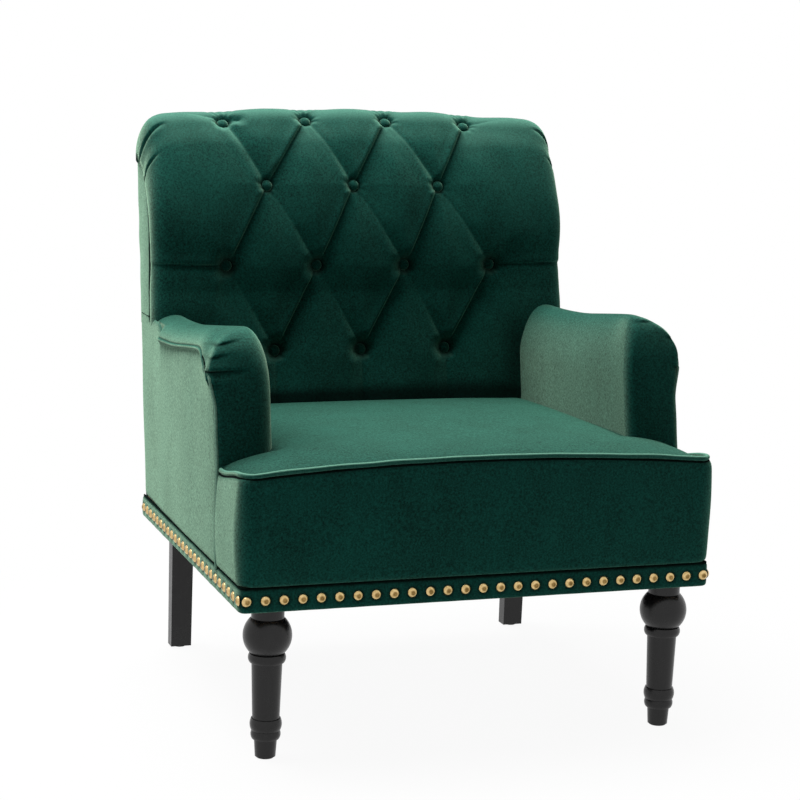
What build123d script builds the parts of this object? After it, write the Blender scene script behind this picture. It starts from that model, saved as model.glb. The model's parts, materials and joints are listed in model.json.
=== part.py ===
from build123d import *
from math import cos, radians, sin, tan
import os

os.makedirs("parts", exist_ok=True)

# Tufted club chair in millimetres. The front faces -Y, +Z is up and the floor is at Z = 0.
# Depths are measured back from the front of the base, rises up from the underside of the seat frame.

# Overall sizes
BASE_WIDTH = 720.0
BASE_DEPTH = 630.0
LEG_HEIGHT = 222.0
BACK_RISE = 673.0
BACK_RAKE = 9.0
SKIN = 8.0
GAP = 0.3

# Turned front legs, from the floor up
GLIDE_HEIGHT = 2.0
GLIDE_INSET = 2.5
FOOT_HEIGHT = 28.0
FOOT_TOE_RADIUS = 14.8
FOOT_TOP_RADIUS = 16.5
LOWER_RING_HEIGHT = 13.0
LOWER_RING_RADIUS = 21.5
UPPER_RING_HEIGHT = 17.0
UPPER_RING_RADIUS = 23.0
RING_SWELL = 2.0
SHAFT_LOW_RADIUS = 19.5
SHAFT_TOP_RADIUS = 22.0
COLLAR_HEIGHT = 12.5
COLLAR_RADIUS = 27.0
BALL_RADIUS = 35.0
BALL_HEIGHT = 52.0
NECK_HEIGHT = 17.0
NECK_RADIUS = 23.5
FRONT_LEG_FROM_SIDE = 52.0

# Square rear legs
REAR_LEG_WIDTH = 36.0
REAR_LEG_TAPER = 1.0
REAR_LEG_KICK = 5.0
REAR_LEG_FROM_SIDE = 61.5

# Seat frame
RAIL_THICK = 25.0
RAIL_HEIGHT = 85.0
FRAME_CORNER_RADIUS = 8.0
BLOCK_REACH = 110.0
BLOCK_HEIGHT = 40.0
BOLT_RADIUS = 4.0
BOLT_IN_LEG = 30.0
REAR_BOLT_IN_RAIL = 45.0
NUT_HEIGHT = 6.5
NUT_RADIUS = 7.5
WASHER_HEIGHT = 1.6
WASHER_RADIUS = 8.6
HOLE_CLEARANCE = 0.2
SCREW_RADIUS = 2.5
SCREW_LENGTH = 65.0
SCREW_HEAD_RADIUS = 5.0
SCREW_HEAD_HEIGHT = 3.0
SCREW_EDGE = 22.0
DUST_COVER_THICK = 1.2
DUST_COVER_INSET = 6.0
LEG_CUTOUT = 1.5

# Springs under the seat
SPRING_COUNT = 5
SPRING_WIRE_RADIUS = 1.9
SPRING_SWING = 22.0
SPRING_STEP = 44.0
SPRING_BEND = 12.0
SPRING_STRAIGHT = 30.0
CLIP_WIDTH = 16.0
CLIP_DEPTH = 15.0
CLIP_HEIGHT = 8.0
FELT_THICK = 5.0

# T-shaped seat
T_DEPTH = 128.0
ARM_WIDTH = 92.0
SEAT_LAYER = 22.0
SEAT_CORNER_RADIUS = 20.0
WELT_RADIUS = 4.0
WELT_CORNER_RISE = 195.0
WELT_MID_RISE = 210.0
WELT_ARM_RISE = 179.0
WELT_CORNER_RADIUS = 22.0
WELT_CREST_RADIUS = 2400.0
WELT_CREST_OVERSHOOT = 1.4
CROWN_NECK_RISE = 216.0
CROWN_TOP_RISE = 214.0
CROWN_REAR_RISE = 199.0
CROWN_TOP_FALL = 30.0
CROWN_REAR_FALL = 8.0
CROWN_TOP_DEPTH = 340.0

# Front border, with its returns in front of the arms
BORDER_BULGE = 4.0
BORDER_DRAW_IN = 2.0
BORDER_LOW_CORNER = 10.0
BORDER_MID_CORNER = 16.0
BORDER_TOP_CORNER = 24.0

# Nailed band
BAND_HEIGHT = 35.0
NAILS_FRONT = 27
NAILS_SIDE = 25
NAIL_MARGIN = 10.0
NAIL_RADIUS = 7.2
NAIL_DOME = 4.2
NAIL_SHANK_RADIUS = 1.0
NAIL_SHANK_LENGTH = 6.5

# Rolled arms
ARM_RISE = 384.0
ARM_FRONT_DROP = 3.0
ARM_DIP = 21.0
ARM_REAR_DROP = 20.0
ARM_CREST_DEPTH = 200.0
ARM_DIP_DEPTH = 410.0
ARM_ROLL_RADIUS = 50.0
ARM_OVERHANG = 8.0
ARM_ROLL_DROP = 42.0
ARM_SEAM_DROP = 50.0
ARM_FRONT_LEAN = 10.8
ARM_FRONT_EASE = 26.0
ARM_FRONT_ROUND = 24.0
ARM_FRONT_MID_ROUND = 6.0
ARM_OUTER_EASE = 0.4
ARM_PAD = 14.0
ARM_POST_DEPTH = 40.0
ARM_POST_SETBACK = 44.0
ARM_RAIL_WIDTH = 50.0
ARM_RAIL_HEIGHT = 25.0
ARM_RAIL_RISE = 268.0
OUTSIDE_ARM_RISE = 326.0

# Back
STRIP_THICK = 4.0
BACK_BOTTOM_RISE = 180.0
BACK_LUMBAR_RISE = 378.0
BACK_THICK_LOW = 108.0
BACK_THICK_LUMBAR = 108.0
BACK_ROLL_RADIUS = 39.0
BACK_ROLL_LEAN = 33.0
BACK_EDGE_EASE = 22.0
BACK_CORNER_RADIUS = 65.0
BACK_CROWN = 20.0
BACK_CROWN_RADIUS = 2500.0
BACK_LAYER = 30.0
BACK_PANEL_THICK = 6.0
POST_THICK = 30.0
POST_TOP_BELOW_ROLL = 21.0
TOP_RAIL_HEIGHT = 45.0
LOWER_RAIL_RISE = 218.0
LOWER_RAIL_HEIGHT = 50.0
STRAP_COUNT = 5
STRAP_WIDTH = 50.0
STRAP_THICK = 2.0
STRIP_SETBACK = 26.0

# Tufting: rows from the seat up
TUFT_LOW_RISE = 283.0
TUFT_THIRD_RISE = 419.0
TUFT_SECOND_RISE = 553.0
TUFT_ROLL_ANGLE = 45.0
TUFT_PITCH = 149.0
TUFT_TOP_PITCH = 141.0
TUFT_DEPTH = 16.0
TUFT_SPREAD = 17.0
PLEAT_DEPTH = 9.0
PLEAT_HALF_WIDTH = 9.0
PLEAT_RISE = 27.0
BUTTON_RADIUS = 9.5
BUTTON_HEIGHT = 7.0
BUTTON_RIM = 2.0

# Places that follow from the sizes above
HALF_WIDTH = BASE_WIDTH / 2
FRAME_HALF = HALF_WIDTH - SKIN
RAIL_TOP = LEG_HEIGHT + RAIL_HEIGHT
BAND_TOP = LEG_HEIGHT + BAND_HEIGHT
ARM_INNER = HALF_WIDTH - ARM_WIDTH
ARM_TOP = LEG_HEIGHT + ARM_RISE
BACK_HALF = FRAME_HALF + STRIP_THICK
BACK_TOP = LEG_HEIGHT + BACK_RISE
ROLL_HEIGHT = BACK_TOP - BACK_ROLL_RADIUS
RAKE_SLOPE = tan(radians(BACK_RAKE))
FRONT = -(BASE_DEPTH + (ROLL_HEIGHT - LEG_HEIGHT) * RAKE_SLOPE - BORDER_BULGE) / 2
SEAT_PLAN_FRONT = FRONT + SKIN
SIDE_RAIL_FRONT = SEAT_PLAN_FRONT + RAIL_THICK
FRONT_LEG_X = HALF_WIDTH - FRONT_LEG_FROM_SIDE
FRONT_LEG_Y = SIDE_RAIL_FRONT + WASHER_RADIUS + HOLE_CLEARANCE
REAR_LEG_X = HALF_WIDTH - REAR_LEG_FROM_SIDE
POST_DEPTH = BACK_PANEL_THICK + POST_THICK
POST_TOP = ROLL_HEIGHT - POST_TOP_BELOW_ROLL


def outside_back(height):
    """Y of the raked outside back at a height."""
    return FRONT + BASE_DEPTH + (height - LEG_HEIGHT) * RAKE_SLOPE


REAR_LEG_Y = outside_back(LEG_HEIGHT) - BACK_PANEL_THICK - RAIL_THICK / 2
ROLL_Y = outside_back(ROLL_HEIGHT) - BACK_ROLL_RADIUS / cos(radians(BACK_RAKE))
BACK_BOTTOM = LEG_HEIGHT + BACK_BOTTOM_RISE
LUMBAR = LEG_HEIGHT + BACK_LUMBAR_RISE
BACK_BOTTOM_Y = outside_back(BACK_BOTTOM) - BACK_THICK_LOW
LUMBAR_Y = outside_back(LUMBAR) - BACK_THICK_LUMBAR
ARM_FRONT = FRONT + T_DEPTH + GAP
SEAT_REAR = BACK_BOTTOM_Y - GAP


def save(piece, name):
    """Label a finished piece and write it."""
    piece.part.label = name
    export_step(piece.part, f"parts/{name}.step")


def save_pair(piece, name):
    """Write a right-hand piece and its mirror image."""
    with BuildPart() as left_hand:
        mirror(piece.part, about=Plane.YZ)
    save(piece, f"{name}_right")
    save(left_hand, f"{name}_left")


def raked_board(low, high, outer, inner):
    """Face in the YZ plane that follows the rake, between two depths in from the outside back."""
    with BuildLine() as outline:
        Polyline(
            (outside_back(low) - inner, low),
            (outside_back(low) - outer, low),
            (outside_back(high) - outer, high),
            (outside_back(high) - inner, high),
            close=True,
        )
    make_face(outline.line)


# Front legs
LOWER_RING_TOP = FOOT_HEIGHT + LOWER_RING_HEIGHT
UPPER_RING_TOP = LOWER_RING_TOP + UPPER_RING_HEIGHT
BALL_TOP = LEG_HEIGHT - NECK_HEIGHT
BALL_LOW = BALL_TOP - BALL_HEIGHT
BALL_END_RADIUS = (BALL_RADIUS**2 - (BALL_HEIGHT / 2) ** 2) ** 0.5
SHAFT_TOP = BALL_LOW - COLLAR_HEIGHT
leg_plane = Plane((FRONT_LEG_X, FRONT_LEG_Y, 0), x_dir=(1, 0, 0), z_dir=(0, -1, 0))
leg_axis = Axis((FRONT_LEG_X, FRONT_LEG_Y, 0), (0, 0, 1))


def ring(low, high, radius):
    """Swelling ring of a turned leg, as a run of its outline."""
    end = radius - RING_SWELL
    ThreePointArc((end, low), (radius, (low + high) / 2), (end, high))


with BuildPart() as front_leg:
    with BuildSketch(leg_plane):
        with BuildLine():
            Polyline((0, GLIDE_HEIGHT), (FOOT_TOE_RADIUS, GLIDE_HEIGHT), (FOOT_TOP_RADIUS, FOOT_HEIGHT))
            Line((FOOT_TOP_RADIUS, FOOT_HEIGHT), (LOWER_RING_RADIUS - RING_SWELL, FOOT_HEIGHT))
            ring(FOOT_HEIGHT, LOWER_RING_TOP, LOWER_RING_RADIUS)
            Line(
                (LOWER_RING_RADIUS - RING_SWELL, LOWER_RING_TOP),
                (UPPER_RING_RADIUS - RING_SWELL, LOWER_RING_TOP),
            )
            ring(LOWER_RING_TOP, UPPER_RING_TOP, UPPER_RING_RADIUS)
            Polyline(
                (UPPER_RING_RADIUS - RING_SWELL, UPPER_RING_TOP),
                (SHAFT_LOW_RADIUS, UPPER_RING_TOP),
                (SHAFT_TOP_RADIUS, SHAFT_TOP),
                (COLLAR_RADIUS - RING_SWELL, SHAFT_TOP),
            )
            ring(SHAFT_TOP, BALL_LOW, COLLAR_RADIUS)
            Line((COLLAR_RADIUS - RING_SWELL, BALL_LOW), (BALL_END_RADIUS, BALL_LOW))
            ThreePointArc(
                (BALL_END_RADIUS, BALL_LOW),
                (BALL_RADIUS, (BALL_LOW + BALL_TOP) / 2),
                (BALL_END_RADIUS, BALL_TOP),
            )
            Polyline(
                (BALL_END_RADIUS, BALL_TOP),
                (NECK_RADIUS, BALL_TOP),
                (NECK_RADIUS, LEG_HEIGHT),
                (0, LEG_HEIGHT),
                (0, GLIDE_HEIGHT),
            )
        make_face()
    revolve(axis=leg_axis)
    with BuildSketch(Plane.XY.offset(LEG_HEIGHT)):
        with Locations((FRONT_LEG_X, FRONT_LEG_Y)):
            Circle(BOLT_RADIUS + HOLE_CLEARANCE)
    extrude(amount=-BOLT_IN_LEG - HOLE_CLEARANCE, mode=Mode.SUBTRACT)
save_pair(front_leg, "front_leg")

# Rear legs, kicked back a little at the floor
with BuildPart() as rear_leg:
    with BuildSketch(Plane.XY.offset(LEG_HEIGHT)):
        with Locations((REAR_LEG_X, REAR_LEG_Y)):
            Rectangle(REAR_LEG_WIDTH, RAIL_THICK)
    with BuildSketch(Plane.XY.offset(GLIDE_HEIGHT)):
        with Locations((REAR_LEG_X, REAR_LEG_Y + REAR_LEG_KICK)):
            Rectangle(REAR_LEG_WIDTH - 2 * REAR_LEG_TAPER, RAIL_THICK - 2 * REAR_LEG_TAPER)
    loft(ruled=True)
    with BuildSketch(Plane.XY.offset(LEG_HEIGHT)):
        with Locations((REAR_LEG_X, REAR_LEG_Y)):
            Circle(BOLT_RADIUS + HOLE_CLEARANCE)
    extrude(amount=-BOLT_IN_LEG - HOLE_CLEARANCE, mode=Mode.SUBTRACT)
save_pair(rear_leg, "rear_leg")

# Glides under the feet
with BuildPart() as front_glide:
    with BuildSketch(Plane.XY):
        with Locations((FRONT_LEG_X, FRONT_LEG_Y)):
            Circle(FOOT_TOE_RADIUS - GLIDE_INSET)
    extrude(amount=GLIDE_HEIGHT)
save_pair(front_glide, "front_glide")

with BuildPart() as rear_glide:
    with BuildSketch(Plane.XY):
        with Locations((REAR_LEG_X, REAR_LEG_Y + REAR_LEG_KICK)):
            Circle(RAIL_THICK / 2 - REAR_LEG_TAPER - GLIDE_INSET)
    extrude(amount=GLIDE_HEIGHT)
save_pair(rear_glide, "rear_glide")


# Screws that hold the side rails to the front rail
def frame_screw(clearance):
    """Countersunk screw along +Y from the origin, or the hole for it."""
    with BuildPart() as screw:
        with BuildSketch(Plane.XZ):
            Circle(SCREW_RADIUS + clearance)
        extrude(amount=-SCREW_LENGTH - clearance)
        with BuildSketch(Plane.XZ.offset(clearance)):
            Circle(SCREW_HEAD_RADIUS + clearance)
        extrude(amount=-SCREW_HEAD_HEIGHT - 2 * clearance)
    return screw.part


SIDE_RAIL_X = FRAME_HALF - RAIL_THICK / 2
SCREW_PLACES = [
    (sign * SIDE_RAIL_X, SEAT_PLAN_FRONT + HOLE_CLEARANCE, height)
    for sign in (-1, 1)
    for height in (LEG_HEIGHT + SCREW_EDGE, RAIL_TOP - SCREW_EDGE)
]
screw_solid = frame_screw(0)
screw_hole = frame_screw(HOLE_CLEARANCE)

with BuildPart() as frame_screws:
    with Locations(*SCREW_PLACES):
        add(screw_solid)
save(frame_screws, "frame_screws")

# Seat frame
with BuildPart() as front_rail:
    with BuildSketch(Plane.XY.offset(LEG_HEIGHT)):
        with Locations((0, SEAT_PLAN_FRONT)):
            Rectangle(2 * FRAME_HALF, RAIL_THICK, align=(Align.CENTER, Align.MIN))
    extrude(amount=RAIL_HEIGHT)
    front_corners = front_rail.edges().filter_by(Axis.Z).group_by(Axis.Y)[0]
    fillet(front_corners, radius=FRAME_CORNER_RADIUS)
    with Locations(*SCREW_PLACES):
        add(screw_hole, mode=Mode.SUBTRACT)
save(front_rail, "front_rail")

with BuildPart() as side_rail:
    with BuildSketch(Plane.YZ.offset(FRAME_HALF - RAIL_THICK)):
        with BuildLine():
            Polyline(
                (SIDE_RAIL_FRONT, LEG_HEIGHT),
                (outside_back(LEG_HEIGHT) - POST_DEPTH, LEG_HEIGHT),
                (outside_back(RAIL_TOP) - POST_DEPTH, RAIL_TOP),
                (SIDE_RAIL_FRONT, RAIL_TOP),
                close=True,
            )
        make_face()
    extrude(amount=RAIL_THICK)
    with Locations(*SCREW_PLACES):
        add(screw_hole, mode=Mode.SUBTRACT)
save_pair(side_rail, "side_rail")

POST_INNER = FRAME_HALF - RAIL_THICK
with BuildPart() as rear_rail:
    with BuildSketch(Plane.YZ):
        raked_board(LEG_HEIGHT, RAIL_TOP, BACK_PANEL_THICK, BACK_PANEL_THICK + RAIL_THICK)
    extrude(amount=POST_INNER, both=True)
    with BuildSketch(Plane.XY.offset(LEG_HEIGHT)):
        with Locations((-REAR_LEG_X, REAR_LEG_Y), (REAR_LEG_X, REAR_LEG_Y)):
            Circle(BOLT_RADIUS + HOLE_CLEARANCE)
    extrude(amount=REAR_BOLT_IN_RAIL + HOLE_CLEARANCE, mode=Mode.SUBTRACT)
save(rear_rail, "rear_rail")

REAR_BLOCK_Y = outside_back(LEG_HEIGHT) - BACK_PANEL_THICK - RAIL_THICK
with BuildPart() as corner_blocks:
    for sign in (-1, 1):
        for corner_y, way in ((SIDE_RAIL_FRONT, 1), (REAR_BLOCK_Y, -1)):
            with BuildSketch(Plane.XY.offset(LEG_HEIGHT)):
                with BuildLine():
                    Polyline(
                        (sign * POST_INNER, corner_y),
                        (sign * (POST_INNER - BLOCK_REACH), corner_y),
                        (sign * POST_INNER, corner_y + way * BLOCK_REACH),
                        close=True,
                    )
                make_face()
            extrude(amount=BLOCK_HEIGHT)
    with BuildSketch(Plane.XY.offset(LEG_HEIGHT)):
        with Locations((-FRONT_LEG_X, FRONT_LEG_Y), (FRONT_LEG_X, FRONT_LEG_Y)):
            Circle(BOLT_RADIUS + HOLE_CLEARANCE)
    extrude(amount=BLOCK_HEIGHT, mode=Mode.SUBTRACT)
save(corner_blocks, "corner_blocks")

# Hanger bolts of the legs; the front pair is drawn up by nuts on the corner blocks
FRONT_BOLT_TOP = LEG_HEIGHT + BLOCK_HEIGHT + WASHER_HEIGHT + NUT_HEIGHT
FRONT_BOLT_PLACES = [(sign * FRONT_LEG_X, FRONT_LEG_Y) for sign in (-1, 1)]
REAR_BOLT_PLACES = [(sign * REAR_LEG_X, REAR_LEG_Y) for sign in (-1, 1)]
with BuildPart() as leg_bolts:
    with BuildSketch(Plane.XY.offset(LEG_HEIGHT - BOLT_IN_LEG)):
        with Locations(*FRONT_BOLT_PLACES):
            Circle(BOLT_RADIUS)
    extrude(amount=FRONT_BOLT_TOP - LEG_HEIGHT + BOLT_IN_LEG)
    with BuildSketch(Plane.XY.offset(LEG_HEIGHT - BOLT_IN_LEG)):
        with Locations(*REAR_BOLT_PLACES):
            Circle(BOLT_RADIUS)
    extrude(amount=BOLT_IN_LEG + REAR_BOLT_IN_RAIL)
save(leg_bolts, "leg_bolts")

with BuildPart() as leg_nuts:
    with BuildSketch(Plane.XY.offset(LEG_HEIGHT + BLOCK_HEIGHT)):
        with Locations(*FRONT_BOLT_PLACES):
            Circle(WASHER_RADIUS)
    extrude(amount=WASHER_HEIGHT)
    with BuildSketch(Plane.XY.offset(LEG_HEIGHT + BLOCK_HEIGHT + WASHER_HEIGHT)):
        with Locations(*FRONT_BOLT_PLACES):
            RegularPolygon(NUT_RADIUS, 6)
    extrude(amount=NUT_HEIGHT)
    with BuildSketch(Plane.XY.offset(LEG_HEIGHT + BLOCK_HEIGHT)):
        with Locations(*FRONT_BOLT_PLACES):
            Circle(BOLT_RADIUS + HOLE_CLEARANCE)
    extrude(amount=WASHER_HEIGHT + NUT_HEIGHT, mode=Mode.SUBTRACT)
save(leg_nuts, "leg_nuts")

# Dust cover under the frame, cut out round the legs
with BuildPart() as dust_cover:
    with BuildSketch(Plane.XY.offset(LEG_HEIGHT - DUST_COVER_THICK)):
        with BuildLine():
            side = FRAME_HALF - DUST_COVER_INSET
            front = SEAT_PLAN_FRONT + DUST_COVER_INSET
            rear = outside_back(LEG_HEIGHT) - BACK_PANEL_THICK - DUST_COVER_INSET
            Polyline((-side, front), (side, front), (side, rear), (-side, rear), close=True)
        make_face()
        with Locations(*FRONT_BOLT_PLACES):
            Circle(NECK_RADIUS + LEG_CUTOUT, mode=Mode.SUBTRACT)
        with Locations(*REAR_BOLT_PLACES):
            Rectangle(
                REAR_LEG_WIDTH + 2 * LEG_CUTOUT,
                RAIL_THICK + 2 * LEG_CUTOUT,
                mode=Mode.SUBTRACT,
            )
    extrude(amount=DUST_COVER_THICK)
save(dust_cover, "dust_cover")

# Back frame
with BuildPart() as back_post:
    with BuildSketch(Plane.YZ.offset(POST_INNER)):
        raked_board(LEG_HEIGHT, POST_TOP, BACK_PANEL_THICK, POST_DEPTH)
    extrude(amount=RAIL_THICK)
save_pair(back_post, "back_post")

with BuildPart() as back_top_rail:
    with BuildSketch(Plane.YZ):
        raked_board(POST_TOP - TOP_RAIL_HEIGHT, POST_TOP, BACK_PANEL_THICK, BACK_PANEL_THICK + RAIL_THICK)
    extrude(amount=POST_INNER, both=True)
save(back_top_rail, "back_top_rail")

LOWER_RAIL = LEG_HEIGHT + LOWER_RAIL_RISE
with BuildPart() as back_lower_rail:
    with BuildSketch(Plane.YZ):
        raked_board(
            LOWER_RAIL,
            LOWER_RAIL + LOWER_RAIL_HEIGHT,
            BACK_PANEL_THICK,
            BACK_PANEL_THICK + RAIL_THICK,
        )
    extrude(amount=POST_INNER, both=True)
save(back_lower_rail, "back_lower_rail")

# Arm frame
ARM_POST_FRONT = FRONT + T_DEPTH + ARM_POST_SETBACK
ARM_RAIL_LOW = LEG_HEIGHT + ARM_RAIL_RISE
ARM_RAIL_TOP = ARM_RAIL_LOW + ARM_RAIL_HEIGHT
with BuildPart() as arm_post:
    with BuildSketch(Plane.XY.offset(RAIL_TOP)):
        with Locations((FRAME_HALF, ARM_POST_FRONT)):
            Rectangle(RAIL_THICK, ARM_POST_DEPTH, align=(Align.MAX, Align.MIN))
    extrude(amount=ARM_RAIL_LOW - RAIL_TOP)
save_pair(arm_post, "arm_post")

with BuildPart() as arm_rail:
    with BuildSketch(Plane.YZ.offset(FRAME_HALF - ARM_RAIL_WIDTH)):
        with BuildLine():
            Polyline(
                (ARM_POST_FRONT, ARM_RAIL_LOW),
                (outside_back(ARM_RAIL_LOW) - POST_DEPTH, ARM_RAIL_LOW),
                (outside_back(ARM_RAIL_TOP) - POST_DEPTH, ARM_RAIL_TOP),
                (ARM_POST_FRONT, ARM_RAIL_TOP),
                close=True,
            )
        make_face()
    extrude(amount=ARM_RAIL_WIDTH)
save_pair(arm_rail, "arm_rail")

# Straps of webbing across the front of the posts
WEB_LOW = ARM_RAIL_TOP
WEB_STEP = (POST_TOP - WEB_LOW) / STRAP_COUNT
with BuildPart() as back_webbing:
    for strap in range(STRAP_COUNT):
        low = WEB_LOW + WEB_STEP * (strap + 0.5) - STRAP_WIDTH / 2
        with BuildSketch(Plane.YZ):
            raked_board(low, low + STRAP_WIDTH, POST_DEPTH, POST_DEPTH + STRAP_THICK)
        extrude(amount=FRAME_HALF - GAP, both=True)
save(back_webbing, "back_webbing")

# Sinuous springs from the front rail to the rear rail, held by clips on the rails
SPRING_LEVEL = RAIL_TOP + CLIP_HEIGHT / 2
SPRING_FRONT = SEAT_PLAN_FRONT + RAIL_THICK / 2
SPRING_REAR = outside_back(RAIL_TOP) - BACK_PANEL_THICK - RAIL_THICK / 2
SPRING_PITCH = 2 * (ARM_INNER - SPRING_SWING) / SPRING_COUNT
SPRING_COLUMNS = [(column - (SPRING_COUNT - 1) / 2) * SPRING_PITCH for column in range(SPRING_COUNT)]
SPRING_TURNS = int((SPRING_REAR - SPRING_FRONT - 2 * SPRING_STRAIGHT) // SPRING_STEP)
SPRING_MARGIN = (SPRING_REAR - SPRING_FRONT - SPRING_TURNS * SPRING_STEP) / 2


def spring_path(x):
    """Points of a zigzag wire along Y."""
    points = [(x, SPRING_FRONT, SPRING_LEVEL)]
    for turn in range(SPRING_TURNS):
        swing = SPRING_SWING if turn % 2 else -SPRING_SWING
        y = SPRING_FRONT + SPRING_MARGIN + turn * SPRING_STEP
        points += [(x + swing, y, SPRING_LEVEL), (x + swing, y + SPRING_STEP, SPRING_LEVEL)]
    points[1] = (x, points[1][1], SPRING_LEVEL)
    points[-1] = (x, points[-1][1], SPRING_LEVEL)
    return points + [(x, SPRING_REAR, SPRING_LEVEL)]


with BuildPart() as seat_springs:
    for x in SPRING_COLUMNS:
        with BuildLine() as wire:
            FilletPolyline(*spring_path(x), radius=SPRING_BEND)
        with BuildSketch(Plane(wire.line @ 0, z_dir=wire.line % 0)):
            Circle(SPRING_WIRE_RADIUS)
        sweep(path=wire.line)
save(seat_springs, "seat_springs")

with BuildPart() as spring_clips:
    with BuildSketch(Plane.XY.offset(RAIL_TOP)):
        with Locations(*[(x, y) for x in SPRING_COLUMNS for y in (SPRING_FRONT, SPRING_REAR)]):
            Rectangle(CLIP_WIDTH, CLIP_DEPTH)
    extrude(amount=CLIP_HEIGHT)
    with BuildSketch(Plane.XZ.offset(-SPRING_FRONT)):
        with Locations(*[(x, SPRING_LEVEL) for x in SPRING_COLUMNS]):
            Circle(SPRING_WIRE_RADIUS + HOLE_CLEARANCE)
    extrude(amount=-(SPRING_REAR - SPRING_FRONT), mode=Mode.SUBTRACT)
save(spring_clips, "spring_clips")


# T-shaped seat: one plan for the felt, the foam and the crowned top
def seat_plan():
    """Face of the T between the arms and in front of them."""
    wing = FRAME_HALF - GAP
    neck = ARM_INNER - GAP
    front = SEAT_PLAN_FRONT + GAP
    shoulder = FRONT + T_DEPTH - GAP
    with BuildLine() as outline:
        FilletPolyline(
            (neck, shoulder),
            (wing, shoulder),
            (wing, front),
            (-wing, front),
            (-wing, shoulder),
            (-neck, shoulder),
            radius=(WELT_RADIUS, SEAT_CORNER_RADIUS, SEAT_CORNER_RADIUS, WELT_RADIUS),
        )
        Polyline((-neck, shoulder), (-neck, SEAT_REAR), (neck, SEAT_REAR), (neck, shoulder))
    make_face(outline.line)


CROWN_REACH = HALF_WIDTH + 2 * BORDER_BULGE
CROWN_STATIONS = (
    (FRONT - 2 * BORDER_BULGE, WELT_MID_RISE, WELT_CORNER_RISE),
    (FRONT + T_DEPTH, CROWN_NECK_RISE, WELT_ARM_RISE),
    (FRONT + CROWN_TOP_DEPTH, CROWN_TOP_RISE, CROWN_TOP_RISE - CROWN_TOP_FALL),
    (SEAT_REAR + SKIN, CROWN_REAR_RISE, CROWN_REAR_RISE - CROWN_REAR_FALL),
)


def crown_body(drop):
    """Everything below the crowned surface of the seat, lowered by a drop."""
    with BuildPart() as crown:
        for y, mid_rise, side_rise in CROWN_STATIONS:
            mid = LEG_HEIGHT + mid_rise - drop
            fall = (mid_rise - side_rise) * (CROWN_REACH / HALF_WIDTH) ** 2
            with BuildSketch(Plane.XZ.offset(-y)):
                with BuildLine():
                    Polyline(
                        (CROWN_REACH, mid - fall),
                        (CROWN_REACH, LEG_HEIGHT),
                        (-CROWN_REACH, LEG_HEIGHT),
                        (-CROWN_REACH, mid - fall),
                    )
                    ThreePointArc((-CROWN_REACH, mid - fall), (0, mid), (CROWN_REACH, mid - fall))
                make_face()
        loft()
    return crown.part


def tube_on_welt(radius):
    """Piping round the front edge of the T, from arm to arm."""
    x = HALF_WIDTH - WELT_RADIUS
    y = FRONT + WELT_RADIUS
    end = FRONT + T_DEPTH - GAP
    corner = LEG_HEIGHT + WELT_CORNER_RISE
    crest = corner + (WELT_MID_RISE - WELT_CORNER_RISE) * WELT_CREST_OVERSHOOT
    arm_end = LEG_HEIGHT + WELT_ARM_RISE
    with BuildPart() as tube:
        with BuildLine() as path:
            FilletPolyline(
                (-x, end, arm_end),
                (-x, y, corner),
                (0, y, crest),
                (x, y, corner),
                (x, end, arm_end),
                radius=(WELT_CORNER_RADIUS, WELT_CREST_RADIUS, WELT_CORNER_RADIUS),
            )
        with BuildSketch(Plane(path.line @ 0, z_dir=path.line % 0)):
            Circle(radius)
        sweep(path=path.line)
    return tube.part


FELT_LOW = RAIL_TOP + CLIP_HEIGHT
FOAM_LOW = FELT_LOW + FELT_THICK + GAP
crown_surface = crown_body(0)
crown_under = crown_body(SEAT_LAYER)
crown_foam = crown_body(SEAT_LAYER + GAP)
crown_border = crown_body(WELT_RADIUS + GAP)
welt_trench = tube_on_welt(WELT_RADIUS + GAP)

with BuildPart() as seat_felt:
    with BuildSketch(Plane.XY.offset(FELT_LOW)):
        seat_plan()
    extrude(amount=FELT_THICK)
save(seat_felt, "seat_felt")

with BuildPart() as seat_foam:
    with BuildSketch(Plane.XY.offset(FOAM_LOW)):
        seat_plan()
    extrude(amount=CROWN_TOP_RISE)
    add(crown_foam, mode=Mode.INTERSECT)
save(seat_foam, "seat_foam")

with BuildPart() as seat_cover:
    with BuildSketch(Plane.XY.offset(FOAM_LOW)):
        seat_plan()
    extrude(amount=CROWN_TOP_RISE)
    add(crown_surface, mode=Mode.INTERSECT)
    add(crown_under, mode=Mode.SUBTRACT)
    add(welt_trench, mode=Mode.SUBTRACT)
save(seat_cover, "seat_cover")

with BuildPart() as seat_welt:
    add(tube_on_welt(WELT_RADIUS))
save(seat_welt, "seat_welt")


# Front border: a bulged wrap round the front of the T
def border_plan(grow, corner):
    """Outline of the front of the T, with rounded front corners."""
    x = HALF_WIDTH + grow
    front = FRONT - grow
    shoulder = FRONT + T_DEPTH
    with BuildLine() as outline:
        FilletPolyline((x, shoulder), (x, front), (-x, front), (-x, shoulder), radius=corner)
        Line((-x, shoulder), (x, shoulder))
    make_face(outline.line)


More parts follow.
